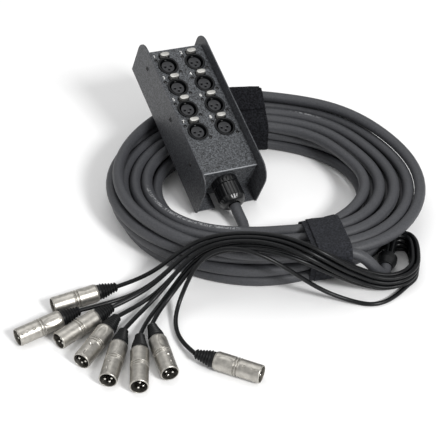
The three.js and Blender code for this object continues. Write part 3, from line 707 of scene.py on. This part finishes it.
# %% Sleeve over the split
SLEEVE_LONG = 15 * MM
SLEEVE_PROFILE = np.array([(0.2, 0), (7.6, 0), (7.6, 2), (10.2, 7.5), (10.2, 15), (0.2, 15)]) * MM
sleeve_grid = turned(rounded(SLEEVE_PROFILE, 0.8 * MM), 40, frame_along(SLEEVE_START, SLEEVE_AHEAD))
sleeve = piece("split_sleeve", [patch(sleeve_grid)], boot_rubber, "shrink_sleeve", ("breakout_sleeve",))
print("sleeve in metres:", SLEEVE_LONG)

# %% Routes of the eight tails
TAIL, TAIL_STEP = 4.6 * MM, 3 * MM
LANE_GAP, LANE_TIGHT = 5.9 * MM, 4.75 * MM
SLEEVE_RUN = 8 * MM
SHELL_LONG, BOOT_LONG = 49 * MM, 21.2 * MM
SAG_TAIL, SAG_FROM, SAG_TO = 7, 9, 18
# The bundle's points in millimetres, each with its roll in degrees.
TRUNK_POINTS = np.array([
    (209, -162.3, 11.6, -90), (212.2, -153.9, 11.6, -90), (220.2, -150.1, 11.6, -90),
    (228.3, -152.2, 11.6, -90), (232.6, -160.3, 11.6, -90), (233.1, -182.5, 11.6, -90),
    (229.6, -200.5, 11.7, -90), (218.6, -214, 11.9, -90), (200.6, -221.5, 13, -90),
    (180.6, -224.5, 19, -90), (163.6, -227, 28, -90), (148.6, -232, 39.5, -90),
    (133.6, -234.5, 51, -75), (116.6, -234.5, 64, -45), (97.6, -225.5, 67.5, -18),
    (76.6, -215.5, 64.8, 0), (52.6, -213, 64.8, 0), (30.6, -213, 64, 0), (12.6, -215.5, 62.2, 0),
])
SAG_POINTS = np.array([
    (222.6, -213.5, 2.5), (210.6, -227, 2.5), (197.6, -237.5, 2.5), (181.6, -243.5, 2.5),
    (163.6, -241, 2.5), (146.6, -235.5, 4.8), (130.6, -233.5, 13.8), (113.6, -236, 29),
    (96.6, -237.5, 45.5), (79.6, -235, 58.5), (62.6, -233, 66.8), (45.6, -228, 69.5),
]) * MM
# Each row: lane, deck, the plug's mouth, its heading in degrees, and its own branch. Millimetres.
PLUG_HEIGHT = 9.606
TAILS = [
    (-1.5, 0.5, (-144.9, -253), -154.6, [(-7.4, -209.5, 59), (-26.4, -210.5, 33.8), (-45.4, -214.5, 16.8)]),
    (-1.5, -0.5, (-175.4, -299), -145.8, [
        (-8.4, -212, 50), (-26.4, -215, 24.8), (-47.4, -224.5, 7.8), (-73.4, -236, 3.2),
        (-93.4, -245, 4.8)]),
    (-0.5, 0.5, (-134, -303.7), -135.4, [
        (-6.4, -215, 55.3), (-25.4, -220.5, 29.8), (-47.4, -232.5, 11.8), (-65.4, -241.5, 8.8)]),
    (-0.5, -0.5, (-109, -332), -116.2, [
        (-7.4, -217.5, 46.8), (-23.4, -222.5, 19.8), (-42.4, -236, 4.8), (-59.4, -249.5, 4.8)]),
    (0.5, 0.5, (-81.4, -357.8), -99.3, [
        (-5.4, -221, 52.5), (-22.4, -229.5, 26.8), (-43.4, -246.5, 8.8), (-59.4, -265.5, 6.8)]),
    (0.5, -0.5, (-50.8, -366.4), -87.8, [
        (-6.4, -223.5, 44), (-20.4, -231, 15.8), (-35.4, -245, 3.8), (-47.4, -264.5, 3.8)]),
    (1.5, -0.5, (-21.8, -348.7), -73.1, [(-2.6, -227.5, 46), (-15, -233.5, 21.8), (-30.4, -248.5, 7.3)]),
    (1.5, 0.5, (66.8, -349.9), -23.8, [
        (2.6, -232.8, 57.8), (-4.4, -235.8, 36.8), (-11.4, -239.5, 16.8), (-18.9, -248.5, 4.4),
        (-23.9, -261.5, 2.7), (-22.4, -277.5, 2.7), (-15.4, -294.5, 3.8)]),
]
sleeve_end = SLEEVE_START + SLEEVE_AHEAD * SLEEVE_LONG
trunk_line = np.vstack([
    sleeve_end + SLEEVE_AHEAD * GAP, sleeve_end + SLEEVE_AHEAD * SLEEVE_RUN, TRUNK_POINTS[:, :3] * MM])
in_sleeve = np.arange(len(trunk_line))[:, None] < 2
trunk_roll = np.radians(np.concatenate([[-90, -90], TRUNK_POINTS[:, 3]]))[:, None]
trunk_ahead, trunk_side, trunk_up = square_to(
    np.where(in_sleeve, SLEEVE_AHEAD, np.gradient(trunk_line, axis=0)))
lane_space = np.where(in_sleeve, LANE_TIGHT, LANE_GAP)
trunk_wide = trunk_side * np.cos(trunk_roll) + trunk_up * np.sin(trunk_roll)
trunk_high = np.cross(trunk_ahead, trunk_wide) * lane_space
trunk_wide = trunk_wide * lane_space


def eased(line, reach=12, free_from=0.15, fade=0.06):
    """The line averaged over its neighbours with a bell weight, beyond free_from metres, both ends kept."""
    pad = 2 * reach
    weight = np.exp(-(np.arange(-pad, pad + 1) / reach) ** 2)
    padded = np.vstack([2 * line[0] - line[pad:0:-1], line, 2 * line[-1] - line[-2:-pad - 2:-1]])
    mean = np.stack([np.convolve(padded[:, k], weight / weight.sum(), "valid") for k in range(3)], axis=1)
    return mix(line, mean, smooth((lengths_along(line) - free_from) / fade)[:, None])


def tail_route(number, lane, deck, mouth, heading, branch):
    """The points of one tail, and the place of its plug: origin at the boot's rear face, Z to the mouth."""
    ahead = np.array([math.cos(math.radians(heading)), math.sin(math.radians(heading)), 0.0])
    rear = np.array([*mouth, PLUG_HEIGHT]) * MM - ahead * (SHELL_LONG + GAP + BOOT_LONG)
    lanes = trunk_line + trunk_wide * lane + trunk_high * deck
    if number == SAG_TAIL:
        lanes = np.vstack([lanes[:SAG_FROM], SAG_POINTS, lanes[SAG_TO + 1:]])
    points = np.vstack([lanes, np.array(branch) * MM, rear - ahead * CABLE, rear - ahead * GAP])
    return eased(smooth_route(points, TAIL_STEP)), frame_along(rear, ahead)


routes = [tail_route(number, *row) for number, row in enumerate(TAILS)]
print("tails in metres:", [round(float(lengths_along(line)[-1]), 3) for line, _ in routes])

# %% [markdown]
# ## The plugs
# A three-pole male plug is a turned and die-cast shell with a double ring round its middle, a ribbed
# rubber boot that keeps the cable from kinking, and a black insert with three pins deep in its mouth. All
# are turned profiles, and the marks on the shell are added to the radius as a relief: an oval thumb
# flat, a small screw hole and a short slot.

# %% Shell, boot and insert profiles
SHELL_BORE, SHELL_CELL = 8.1 * MM, 0.7 * MM
SHELL_START = BOOT_LONG + GAP
SHELL_END = SHELL_START + SHELL_LONG
BOOT_FRONT, BOOT_REAR, BOOT_RIBS, RIB_HIGH = 7.9 * MM, 4.4 * MM, 7, 0.7 * MM
INSERT_FACE, INSERT_LONG = SHELL_END - 14 * MM, 8 * MM
PIN_RADIUS, PIN_LONG, PIN_ROOT = 1.2 * MM, 12 * MM, 4 * MM
PIN_PLACES = [(-3.5 * MM, 0), (3.5 * MM, 0), (0, -4 * MM)]
# Radius and length from the shell's rear, in millimetres: the tube, a groove and the ring, a second
# groove, the front tube and the mouth, and the bore.
SHELL_PROFILE = np.array([
    (6.4, 0), (8.6, 0), (9.5, 2.2), (9.5, 21), (8.3, 21.4), (8.3, 22.2), (9.5, 22.6), (9.5, 24),
    (8.3, 24.4), (8.3, 25.2), (9.5, 25.6), (9.5, 26), (9.25, 26.6), (9.25, 48.2), (8.6, 49), (8.1, 49),
    (8.1, 20), (6.4, 20),
]) * MM + (0, SHELL_START)
# Marks on the wall: depth, length from the rear, half angle, half length and softness.
SHELL_MARKS = [(0.5, 11.5, 0.42, 8, 0.25), (1.0, 31.5, 0.13, 1.2, 0.4), (0.8, 42.5, 0.09, 2.6, 0.4)]


def finer(profile, cell):
    """A closed profile with a point about every cell along its sides."""
    ends = np.roll(profile, -1, axis=0)
    counts = np.maximum((np.linalg.norm(ends - profile, axis=1) / cell).astype(int), 1)
    return np.vstack([np.linspace(a, b, n, endpoint=False) for a, b, n in zip(profile, ends, counts)])


def shell_relief(angle, along):
    """Sinks the thumb flat, the screw hole and the slot: each is 1 inside an oval and 0 outside it, with a
    soft edge, times its depth."""
    off = np.arctan2(np.sin(angle - math.pi / 2), np.cos(angle - math.pi / 2))
    return -MM * sum(
        deep * (1 - smooth((np.hypot(off / wide, (along - SHELL_START - at * MM) / (tall * MM)) - 1) / soft))
        for deep, at, wide, tall, soft in SHELL_MARKS)


def boot_profile():
    """A taper with ribs: radius from rear to front, minus a dip between each pair of ribs."""
    along = np.linspace(0, BOOT_LONG, 120)
    share = along / BOOT_LONG
    wave = np.sin(share * BOOT_RIBS * TURN - math.pi / 2) * smooth((0.92 - share) / 0.06)
    radius = mix(BOOT_REAR, BOOT_FRONT, smooth(share * 1.05)) + RIB_HIGH * wave
    return np.vstack([[(0.2 * MM, 0)], np.stack([radius, along], axis=1), [(0.2 * MM, BOOT_LONG)]])


shell_points = finer(rounded(SHELL_PROFILE, 0.35 * MM, 4, closed=True), SHELL_CELL)
outer_wall = shell_points[:, :1] > SHELL_BORE + 0.6 * MM
boot_points = boot_profile()
insert_points = rod(SHELL_BORE - 0.2 * MM, INSERT_FACE - INSERT_LONG, INSERT_FACE, 0.4 * MM)
pin_points = rod(PIN_RADIUS, 0, PIN_LONG + PIN_ROOT, 0.9 * MM, 5)
print("points in the shell's profile:", len(shell_points))

# %% Eight plugs on their tails
PLUG_ROLLS = [20, -35, 60, -10, 15, 75, -20, 30]
for number, ((line, place), roll) in enumerate(zip(routes, PLUG_ROLLS), start=1):
    place = place @ np.array(Matrix.Rotation(math.radians(roll), 4, "Z"))
    shell_grid = turned(shell_points, 96, place, lambda a, s: shell_relief(a, s) * outer_wall)
    pins = [patch(turned(pin_points, 14, place @ moved(x, y, INSERT_FACE - PIN_ROOT)))
            for x, y in PIN_PLACES]
    plug = [
        piece(f"plug_shell_form_{number}", [patch(shell_grid, loop=True)], shell_nickel, "shell_nickel",
              (f"plug_shell_{number}",)),
        piece(f"plug_boot_form_{number}", [patch(turned(boot_points, 40, place))], boot_rubber,
              "boot_rubber", (f"plug_boot_{number}",), sharp=60),
        piece(f"plug_insert_form_{number}", [patch(turned(insert_points, 40, place))], nylon,
              "insert_plastic", (f"plug_insert_{number}",)),
        piece(f"plug_pins_{number}", pins, pin_silver, "shell_nickel"),
    ]
    tail = piece(f"tail_form_{number}", [patch(tube_grid(line, TAIL / 2, 12))], tail_pvc, "tail_jacket",
                 (f"tail_{number}",), row_lengths=lengths_along(line), sharp=60)
print("plugs:", len(routes))

# %% [markdown]
# ## The straps
# Hook-and-loop tape is pulled tight round the bundle of loops, so it takes the shape of a rubber band round
# the cables it holds. Slice by slice across its width, the band is the convex hull of the cable
# sections there. Its end lies back over itself as a second layer.

# %% Outline round the cable sections
TAPE_WIDE, TAPE_THICK, TAPE_CLEAR = 40 * MM, 1.8 * MM, 0.35 * MM
TAPE_SLICES, TAPE_COLUMNS, TAPE_EDGE = 13, 240, 0.35 * MM
STIFFNESS = 0.55
TAPE_RAGGED, TAPE_FUZZ, FUZZ_SEED = 0.12 * MM, 0.09 * MM, 7
SLICE_REACH, INNER_SLACK = 6 * MM, 1.0 * MM


def hull(points):
    """Corners of the smallest convex outline round flat points, counter-clockwise."""
    ordered = points[np.lexsort((points[:, 1], points[:, 0]))]

    def half(rows):
        out = []
        for p in rows:
            while len(out) > 1:
                a, b = out[-2], out[-1]
                if (b[0] - a[0]) * (p[1] - a[1]) - (b[1] - a[1]) * (p[0] - a[0]) > 0:
                    break
                out.pop()
            out.append(p)
        return out[:-1]

    return np.array(half(ordered) + half(ordered[::-1]))


def outline_at(points, columns, middle):
    """The hull of the points as distances from the middle at even angles."""
    corners = hull(points)
    dense = (corners * (1 - BETWEEN) + np.roll(corners, -1, axis=0) * BETWEEN).reshape(-1, 2) - middle
    angle = np.arctan2(dense[:, 1], dense[:, 0])
    order = np.argsort(angle)
    wanted = even_angles(columns) - math.pi
    radius = np.interp(wanted, angle[order], np.hypot(*dense.T)[order], period=TURN)
    return middle + np.stack([radius * np.cos(wanted), radius * np.sin(wanted)], axis=1)


def band_rows(middle, outward, slices, lines, shift):
    """Hull outlines of the cables, one per slice across the strap, with their outward normals. middle is
    a point inside the ring, and the strap's plane leaves it along outward."""
    tangent = np.array([-outward[1], outward[0]])
    angle = even_angles(24)
    circle = np.stack([np.cos(angle), np.sin(angle)], axis=1) * (CABLE / 2 + TAPE_CLEAR)
    circle[:, 0] -= np.where(circle[:, 0] < 0, INNER_SLACK, 0)
    along, out = (lines[:, :2] - middle) @ tangent, (lines[:, :2] - middle) @ outward
    centre, rows = None, []
    for s in slices:
        near = (out > 0) & (np.abs(along - s - shift) < SLICE_REACH)
        sections = np.stack([out[near], lines[near, 2]], axis=1)
        points = (sections[:, None] + circle[None]).reshape(-1, 2)
        if centre is None:
            centre = (points.min(axis=0) + points.max(axis=0)) / 2
        rows.append(outline_at(points, TAPE_COLUMNS, centre))
    rows = np.array(rows)
    # stiff tape draws every section towards the middle one, by the share STIFFNESS
    rows = mix(rows, rows[len(rows) // 2], STIFFNESS)
    ahead = unit(np.roll(rows, -1, axis=1) - np.roll(rows, 1, axis=1))
    return rows, np.stack([ahead[..., 1], -ahead[..., 0]], axis=-1), tangent


# %% Bands of tape round the cables
def tape_band(middle, outward, lines, first=0.0, last=1.0, lift=0.0, shift=0.0, wide=TAPE_WIDE):
    """A closed or open band of tape. first and last are shares of the way round, lift its height over
    the cables, and its section runs over the inner face, one edge, the outer face and the other edge."""
    outward = np.array(outward) / np.hypot(*outward)
    slices = np.linspace(-wide / 2, wide / 2, TAPE_SLICES) + shift
    rows, normal, tangent = band_rows(middle, outward, slices - shift, lines, shift)
    closed = last - first >= 1
    picked = np.arange(0 if closed else int(first * TAPE_COLUMNS), int(last * TAPE_COLUMNS)) % TAPE_COLUMNS
    rows, normal = rows[:, picked], normal[:, picked]
    ragged = np.random.default_rng(int(wide * 1e5)).normal(0, 1, (2, TAPE_COLUMNS))
    ragged = (ragged + np.roll(ragged, 1, axis=1)) * TAPE_RAGGED
    share = np.linspace(0, 1, TAPE_SLICES)[:, None]
    slices = (slices[:, None] + share * ragged[0] + share[::-1] * ragged[1])[:, picked]
    fuzz = np.random.default_rng(FUZZ_SEED).normal(0, 1, rows.shape[:2])
    fuzz = (fuzz + np.roll(fuzz, 1, axis=1) + np.roll(fuzz, 1, axis=0))[..., None] * TAPE_FUZZ

    def face(part, height, sideways=0.0):
        """Rows of the band at a height over the cables, carried to their place on the coil."""
        flat = rows[part] + normal[part] * height
        spots = middle + flat[..., :1] * outward + (slices[part] + sideways)[..., None] * tangent
        return np.concatenate([spots, flat[..., 1:]], axis=-1)

    whole, half = slice(None), lift + TAPE_THICK / 2
    section = np.concatenate([
        face(whole, lift), face(slice(-1, None), half, TAPE_EDGE),
        face(whole, lift + TAPE_THICK + fuzz)[::-1], face(slice(0, 1), half, -TAPE_EDGE),
    ], axis=0)
    return patch(section.transpose(1, 0, 2), loop=closed)


STRAPS = {  # a point inside the ring, the way out, the finish, the cables, and the overlapping end
    "strap_front": (np.array([0.1205, -0.0637]), (0.135, -0.991), tape_back,
                    np.vstack([coil_line, run_line]),
                    dict(first=0.36, last=0.97, shift=3 * MM, wide=35 * MM)),
    "strap_rear": (COIL_MIDDLE, (-0.122, 0.993), tape_pile,
                   coil_line, dict(first=0.42, last=0.80, shift=2.0 * MM, wide=39 * MM)),
}
for name, (middle, outward, finish, lines, overlap) in STRAPS.items():
    lines = even_steps(lines, 2 * MM)
    layers = [tape_band(middle, outward, lines, **values)
              for values in ({}, dict(overlap, lift=TAPE_THICK + 0.1 * MM))]
    strap = piece(name + "_tape", layers, finish, "hook_loop", (name,), sharp=50)
    print(name, "faces:", len(strap.data.polygons))

# %% [markdown]
# ## The sockets
# Each socket is a black moulded cup set into the panel with a thick rim, a ring groove for the plug's
# shell, and a contact block with three holes. The cup and its rim are one turned profile. The block needs
# holes, which a turned shape can't have, so three rods are cut out of it with a Boolean modifier, once,
# and the result is copied to all eight places.

# %% Contact block with three holes
CORE_RADIUS, CORE_FRONT, GROOVE_FLOOR = 7.6 * MM, -0.9 * MM, -14 * MM
HOLE_RADIUS, HOLE_MOUTH, HOLE_DEEP = 1.3 * MM, 1.8 * MM, 11 * MM


def evaluated_copy(source):
    """The mesh of an object with its modifiers applied."""
    bpy.context.view_layer.update()
    return bpy.data.meshes.new_from_object(source.evaluated_get(bpy.context.evaluated_depsgraph_get()))


def contact_block():
    """A turned block, less three turned rods with wider mouths."""
    block_profile = rod(CORE_RADIUS, GROOVE_FLOOR, CORE_FRONT, 0.5 * MM, 5)
    block = new_object("block", build_mesh("block", [patch(turned(block_profile, 64, np.eye(4)))]))
    hole = [(NEAR_AXIS, CORE_FRONT - HOLE_DEEP), (HOLE_RADIUS, CORE_FRONT - HOLE_DEEP),
            (HOLE_RADIUS, CORE_FRONT - 0.4 * MM), (HOLE_MOUTH, CORE_FRONT + 0.1 * MM),
            (HOLE_MOUTH, CORE_FRONT + 1 * MM), (NEAR_AXIS, CORE_FRONT + 1 * MM)]
    rods = [patch(turned(hole, 24, moved(x, y))) for x, y in PIN_PLACES]
    cutter = new_object("cutter", build_mesh("cutter", rods))
    cut = block.modifiers.new("holes", "BOOLEAN")
    cut.operation, cut.object, cut.solver = "DIFFERENCE", cutter, "EXACT"
    mesh = evaluated_copy(block)
    for made in (block, cutter):
        bpy.data.objects.remove(made)
    return mesh


block_mesh = contact_block()
print("contact block faces:", len(block_mesh.polygons))

# %% Flange and screws
SOCKET_RADIUS = 10.9 * MM
FLANGE_HALF, FLANGE_TOP, FLANGE_THICK = (13 * MM, 14.6 * MM), -1.9 * MM, 2 * MM
TAB_NOTCH_HALF, TAB_NOTCH_Y = 6.2 * MM, 11.5 * MM
RECESS_HALF, RECESS_REACH, RECESS_SOFT, RECESS_DEEP = 0.45 * MM, 1.25 * MM, 0.15 * MM, 0.5 * MM


def flange_grid(place, columns=48):
    """A rectangular plate with a round hole: four outlines, inner and outer, low and high. Its upper edge
    is cut back to y = TAB_NOTCH_Y over the middle, where the push tab passes."""
    angle = even_angles(columns)
    cos, sin = np.cos(angle), np.sin(angle)
    square = np.minimum(FLANGE_HALF[0] / np.maximum(np.abs(cos), 1e-6),
                        FLANGE_HALF[1] / np.maximum(np.abs(sin), 1e-6))
    hole = np.full(columns, SOCKET_RADIUS + 0.05 * MM)
    low, high = FLANGE_TOP - FLANGE_THICK, FLANGE_TOP
    rows = [(hole, low), (square, low), (square, high), (hole, high)]
    grid = np.array([np.stack([r * cos, r * sin, 0 * angle + z], 1) for r, z in rows])
    notched = np.abs(grid[..., 0]) < TAB_NOTCH_HALF
    grid[..., 1] = np.where(notched, np.minimum(grid[..., 1], TAB_NOTCH_Y), grid[..., 1])
    return put(grid, place)


def screw_patch(place, radius=2.1 * MM, high=1.0 * MM):
    """A pan head: a dome with a cross recess pressed into its top."""
    share = np.linspace(1, 0, 14)
    profile = np.stack([radius * np.sin(share * math.pi / 2), high * np.cos(share * math.pi / 2)], axis=1)
    profile = np.vstack([profile, [(0.02 * MM, high)]])
    profile[0, 1] = 0
    grid = turned(profile, 48, np.eye(4))
    across = np.abs(grid[..., :2])
    arms = smooth((RECESS_HALF - across) / RECESS_SOFT) * (across[..., ::-1] < RECESS_REACH)
    grid[..., 2] -= RECESS_DEEP * arms.max(axis=-1)
    return patch(put(grid, place))


# %% Cup, block, tongue and screws of every socket
CUP_PROFILE = np.array([
    (0.05, -25), (10.9, -25), (10.9, 0.05), (12.1, 0.05), (12.1, 1.5), (9.8, 1.5), (9.8, -14), (0.05, -14),
]) * MM
RIM_FLAT = 11.2 * MM
SCREW_OFFSET = (11.73 * MM, 9.9 * MM)
TONGUE_HALF_ANGLE = 0.12
# The sprung tongue's section: radius and height in millimetres.
TONGUE = np.array([
    (8.3, -1.0), (9.3, -0.6), (9.5, -1.2), (9.5, -8.0), (9.0, -8.0), (8.9, -2.0),
])[:, None] * MM
cup_grid = turned(rounded(CUP_PROFILE, 0.6 * MM, 5), 64, np.eye(4))
cup_grid[..., 1] = np.minimum(cup_grid[..., 1], RIM_FLAT)
tongue_angle = math.pi / 2 + np.linspace(-TONGUE_HALF_ANGLE, TONGUE_HALF_ANGLE, 12)
tongue_grid = np.stack([TONGUE[..., 0] * np.cos(tongue_angle), TONGUE[..., 0] * np.sin(tongue_angle),
                        TONGUE[..., 1] + 0 * tongue_angle], axis=-1)
for number, (x, y) in enumerate(places, start=1):
    place = on_panel(x, y)
    piece(f"socket_cup_{number}", [patch(put(cup_grid, place)), patch(flange_grid(place), loop=True)], nylon,
          "socket_plastic", (f"socket_{number}",))
    block = block_mesh.copy()
    block.transform(Matrix(place.tolist()))
    piece(f"socket_block_{number}", block, insert_nylon, "socket_plastic")
    piece(f"socket_tongue_{number}", [patch(put(tongue_grid, place), around=False, loop=True)], dark_steel,
          "shell_nickel")
    screws = [screw_patch(on_panel(x + side * SCREW_OFFSET[0], y - side * SCREW_OFFSET[1]))
              for side in (-1, 1)]
    piece(f"socket_screws_{number}", screws, dark_steel)
print("sockets:", len(places))

# %% [markdown]
# ## The push tabs
# A nickel oval over each socket releases the plug's latch. Its outline is nearly an ellipse, carried up
# from a narrower stem through a soft edge to a slightly domed top, with a thin frame round it in the
# panel. Each tab rides on its own joint, so it sinks when the joint moves.

# %% Eight tabs with their frames
TAB_OFFSET = 14.1 * MM
TAB_SIDES, TAB_EDGE, TAB_WIDE, TAB_TALL, TAB_TOP = 64, 0.8, 5.6, 2.75, 5.6
edge = np.linspace(0, math.pi / 2, 6)
# Rows of half width, half height, fullness and height over the panel, in millimetres: the stem, the head's
# underside, its soft edge and its dome, then the frame.
tab_rows = [
    (5.2, 2.2, 3.0, -1.4), (5.2, 2.2, 3.0, 2.6), (5.4, 2.55, 2.4, 2.6), (5.6, 2.75, 2.4, 2.8),
    *[(TAB_WIDE - back, TAB_TALL - back, 2.4, TAB_TOP - down)
      for back, down in zip(TAB_EDGE * (1 - np.cos(edge)), TAB_EDGE * (1 - np.sin(edge)))],
    (3.4, 1.4, 2.2, 5.75), (1.2, 0.5, 2.0, 5.8),
]
frame_rows = [
    (5.9, 2.75, 4.0, 0.02), (5.9, 2.75, 4.0, 0.5), (6.1, 2.9, 4.0, 0.7), (6.5, 3.2, 4.0, 0.6),
    (6.7, 3.4, 4.0, 0.02),
]


def oval_grid(rows, place):
    """One closed outline per row, between an ellipse (fullness 2) and a rectangle (high fullness): its
    radius is 1 over the fullness-norm of (cos / half width, sin / half height)."""
    wide, tall, fullness, z = (part[:, None] for part in np.array(rows).T)
    angle = even_angles(TAB_SIDES)
    cos, sin = np.cos(angle), np.sin(angle)
    radius = (np.abs(cos / wide) ** fullness + np.abs(sin / tall) ** fullness) ** (-1 / fullness)
    return put(np.stack([radius * cos, radius * sin, z + 0 * angle], axis=-1) * MM, place)


for number, (x, y) in enumerate(places, start=1):
    place = on_panel(x, y + TAB_OFFSET)
    piece(f"push_tab_{number}", [patch(oval_grid(tab_rows, place))], tab_nickel, "tab_nickel",
          (f"latch_{number}",), body=f"tab_{number}")
    piece(f"tab_frame_{number}", [patch(oval_grid(frame_rows, place), loop=True)], nylon, "socket_plastic")
print("push tabs:", len(places))

# %% [markdown]
# ## The cable gland
# A nylon gland clamps the multicore where it leaves the box: a threaded body with a grip ring against the
# end face, and a cap that is turned down on it. Both are turned profiles with a relief round them, notches
# on the ring and grip ribs on the cap. The locknut inside keeps its CAD shape.

# %% Gland body, cap and what is inside
NOTCHES, NOTCH_DEEP, RING_SPAN = 18, 0.7 * MM, (105.2, 111.4)
RIBS, RIB_DEEP, RIBS_END, RIBS_FADE = 20, 0.45 * MM, 134.5, 3
GLAND_WALL = 11.5 * MM
# Radius and distance below the panel's middle, along the gland, in millimetres.
BODY_PROFILE = np.array([
    (6.45, 94), (10.8, 94), (10.8, 104.3), (15.2, 104.3), (15.2, 112.3), (12, 112.3), (12, 121), (6.45, 121),
]) * MM
CAP_PROFILE = np.array([
    (12.3, 112.6), (15.2, 112.6), (15.4, 130), (12.2, 135.4), (8.8, 136.6), (6.6, 136.2), (6.6, 121.3),
    (12.3, 121.3),
]) * MM


def notches(angle, along):
    """Shallow notches round the grip ring: minus the third power of a cosine wave's upper half."""
    in_ring = smooth(along / MM - RING_SPAN[0]) * smooth(RING_SPAN[1] - along / MM)
    return -NOTCH_DEEP * in_ring * ramp(np.cos(angle * NOTCHES)) ** 3


def ribs(angle, along):
    """Grip ribs along the cap: minus the square of a cosine wave's upper half."""
    return -RIB_DEEP * ramp(np.cos(angle * RIBS)) ** 2 * smooth((RIBS_END - along / MM) / RIBS_FADE)


gland_place = box_frame @ frame_along((GLAND_X, 0, GLAND_Z), (0, -1, 0))
for name, profile, relief, node_name in (
    ("gland_grip", rounded(BODY_PROFILE, 0.7 * MM, closed=True), notches, "gland_body"),
    ("gland_dome", rounded(CAP_PROFILE, 1.2 * MM, 5, closed=True), ribs, "gland_cap"),
):
    cells = np.vstack([np.linspace(a, b, 5, endpoint=False)
                       for a, b in zip(profile, np.roll(profile, -1, axis=0))])
    grid = turned(cells, 144, gland_place, lambda a, s: relief(a, s) * (cells[:, :1] > GLAND_WALL))
    piece(name, [patch(grid, loop=True)], gloss_nylon, "gland_plastic", (node_name,))
    print(name, "points:", grid.size // 3)
repaint("gland_locknut", nylon)
repaint("inner_cores", tail_pvc)

# %% [markdown]
# ## Numbers and the side screws
# Each socket's channel number is screen printed beside it. Plain numerals are generic, so they stay. A
# text object is made a mesh, thinned to an ink layer and carried onto the panel. Pan head screws hold
# the cover through the cheeks.

# %% Channel numbers
NUMBER_SIZE, INK_THICK = 5.94 * MM, 0.06 * MM
NUMBER_OFFSET = (-11.3 * MM, 14.2 * MM)
for number, (x, y) in enumerate(places, start=1):
    text = bpy.data.curves.new("number", "FONT")
    text.body, text.align_x = str(number), "CENTER"
    text.size, text.extrude = NUMBER_SIZE, INK_THICK / 2
    holder = new_object("number", text)
    mesh = evaluated_copy(holder)
    bpy.data.objects.remove(holder)
    mesh.transform(Matrix(on_panel(x + NUMBER_OFFSET[0], y + NUMBER_OFFSET[1], INK_THICK).tolist()))
    mesh.materials.clear()
    piece(f"channel_number_{number}", mesh, ink_white)
print("channel numbers:", len(places))

# %% Screws of the cheeks
CHEEK_LEFT, CHEEK_RIGHT = -39.9 * MM, 36.1 * MM
CHEEK_SCREWS = np.array([(52.4, -6.4), (-22.2, -4.7), (-84.3, -5.3)]) * MM
for side, x, outward in (("left", CHEEK_LEFT, -1), ("right", CHEEK_RIGHT, 1)):
    screws = [screw_patch(box_frame @ frame_along((x, y, z), (outward, 0, 0)), 2.8 * MM, 1.2 * MM)
              for y, z in CHEEK_SCREWS]
    piece(f"cheek_screws_{side}", screws, dark_steel)
print("cheek screws:", 2 * len(CHEEK_SCREWS))
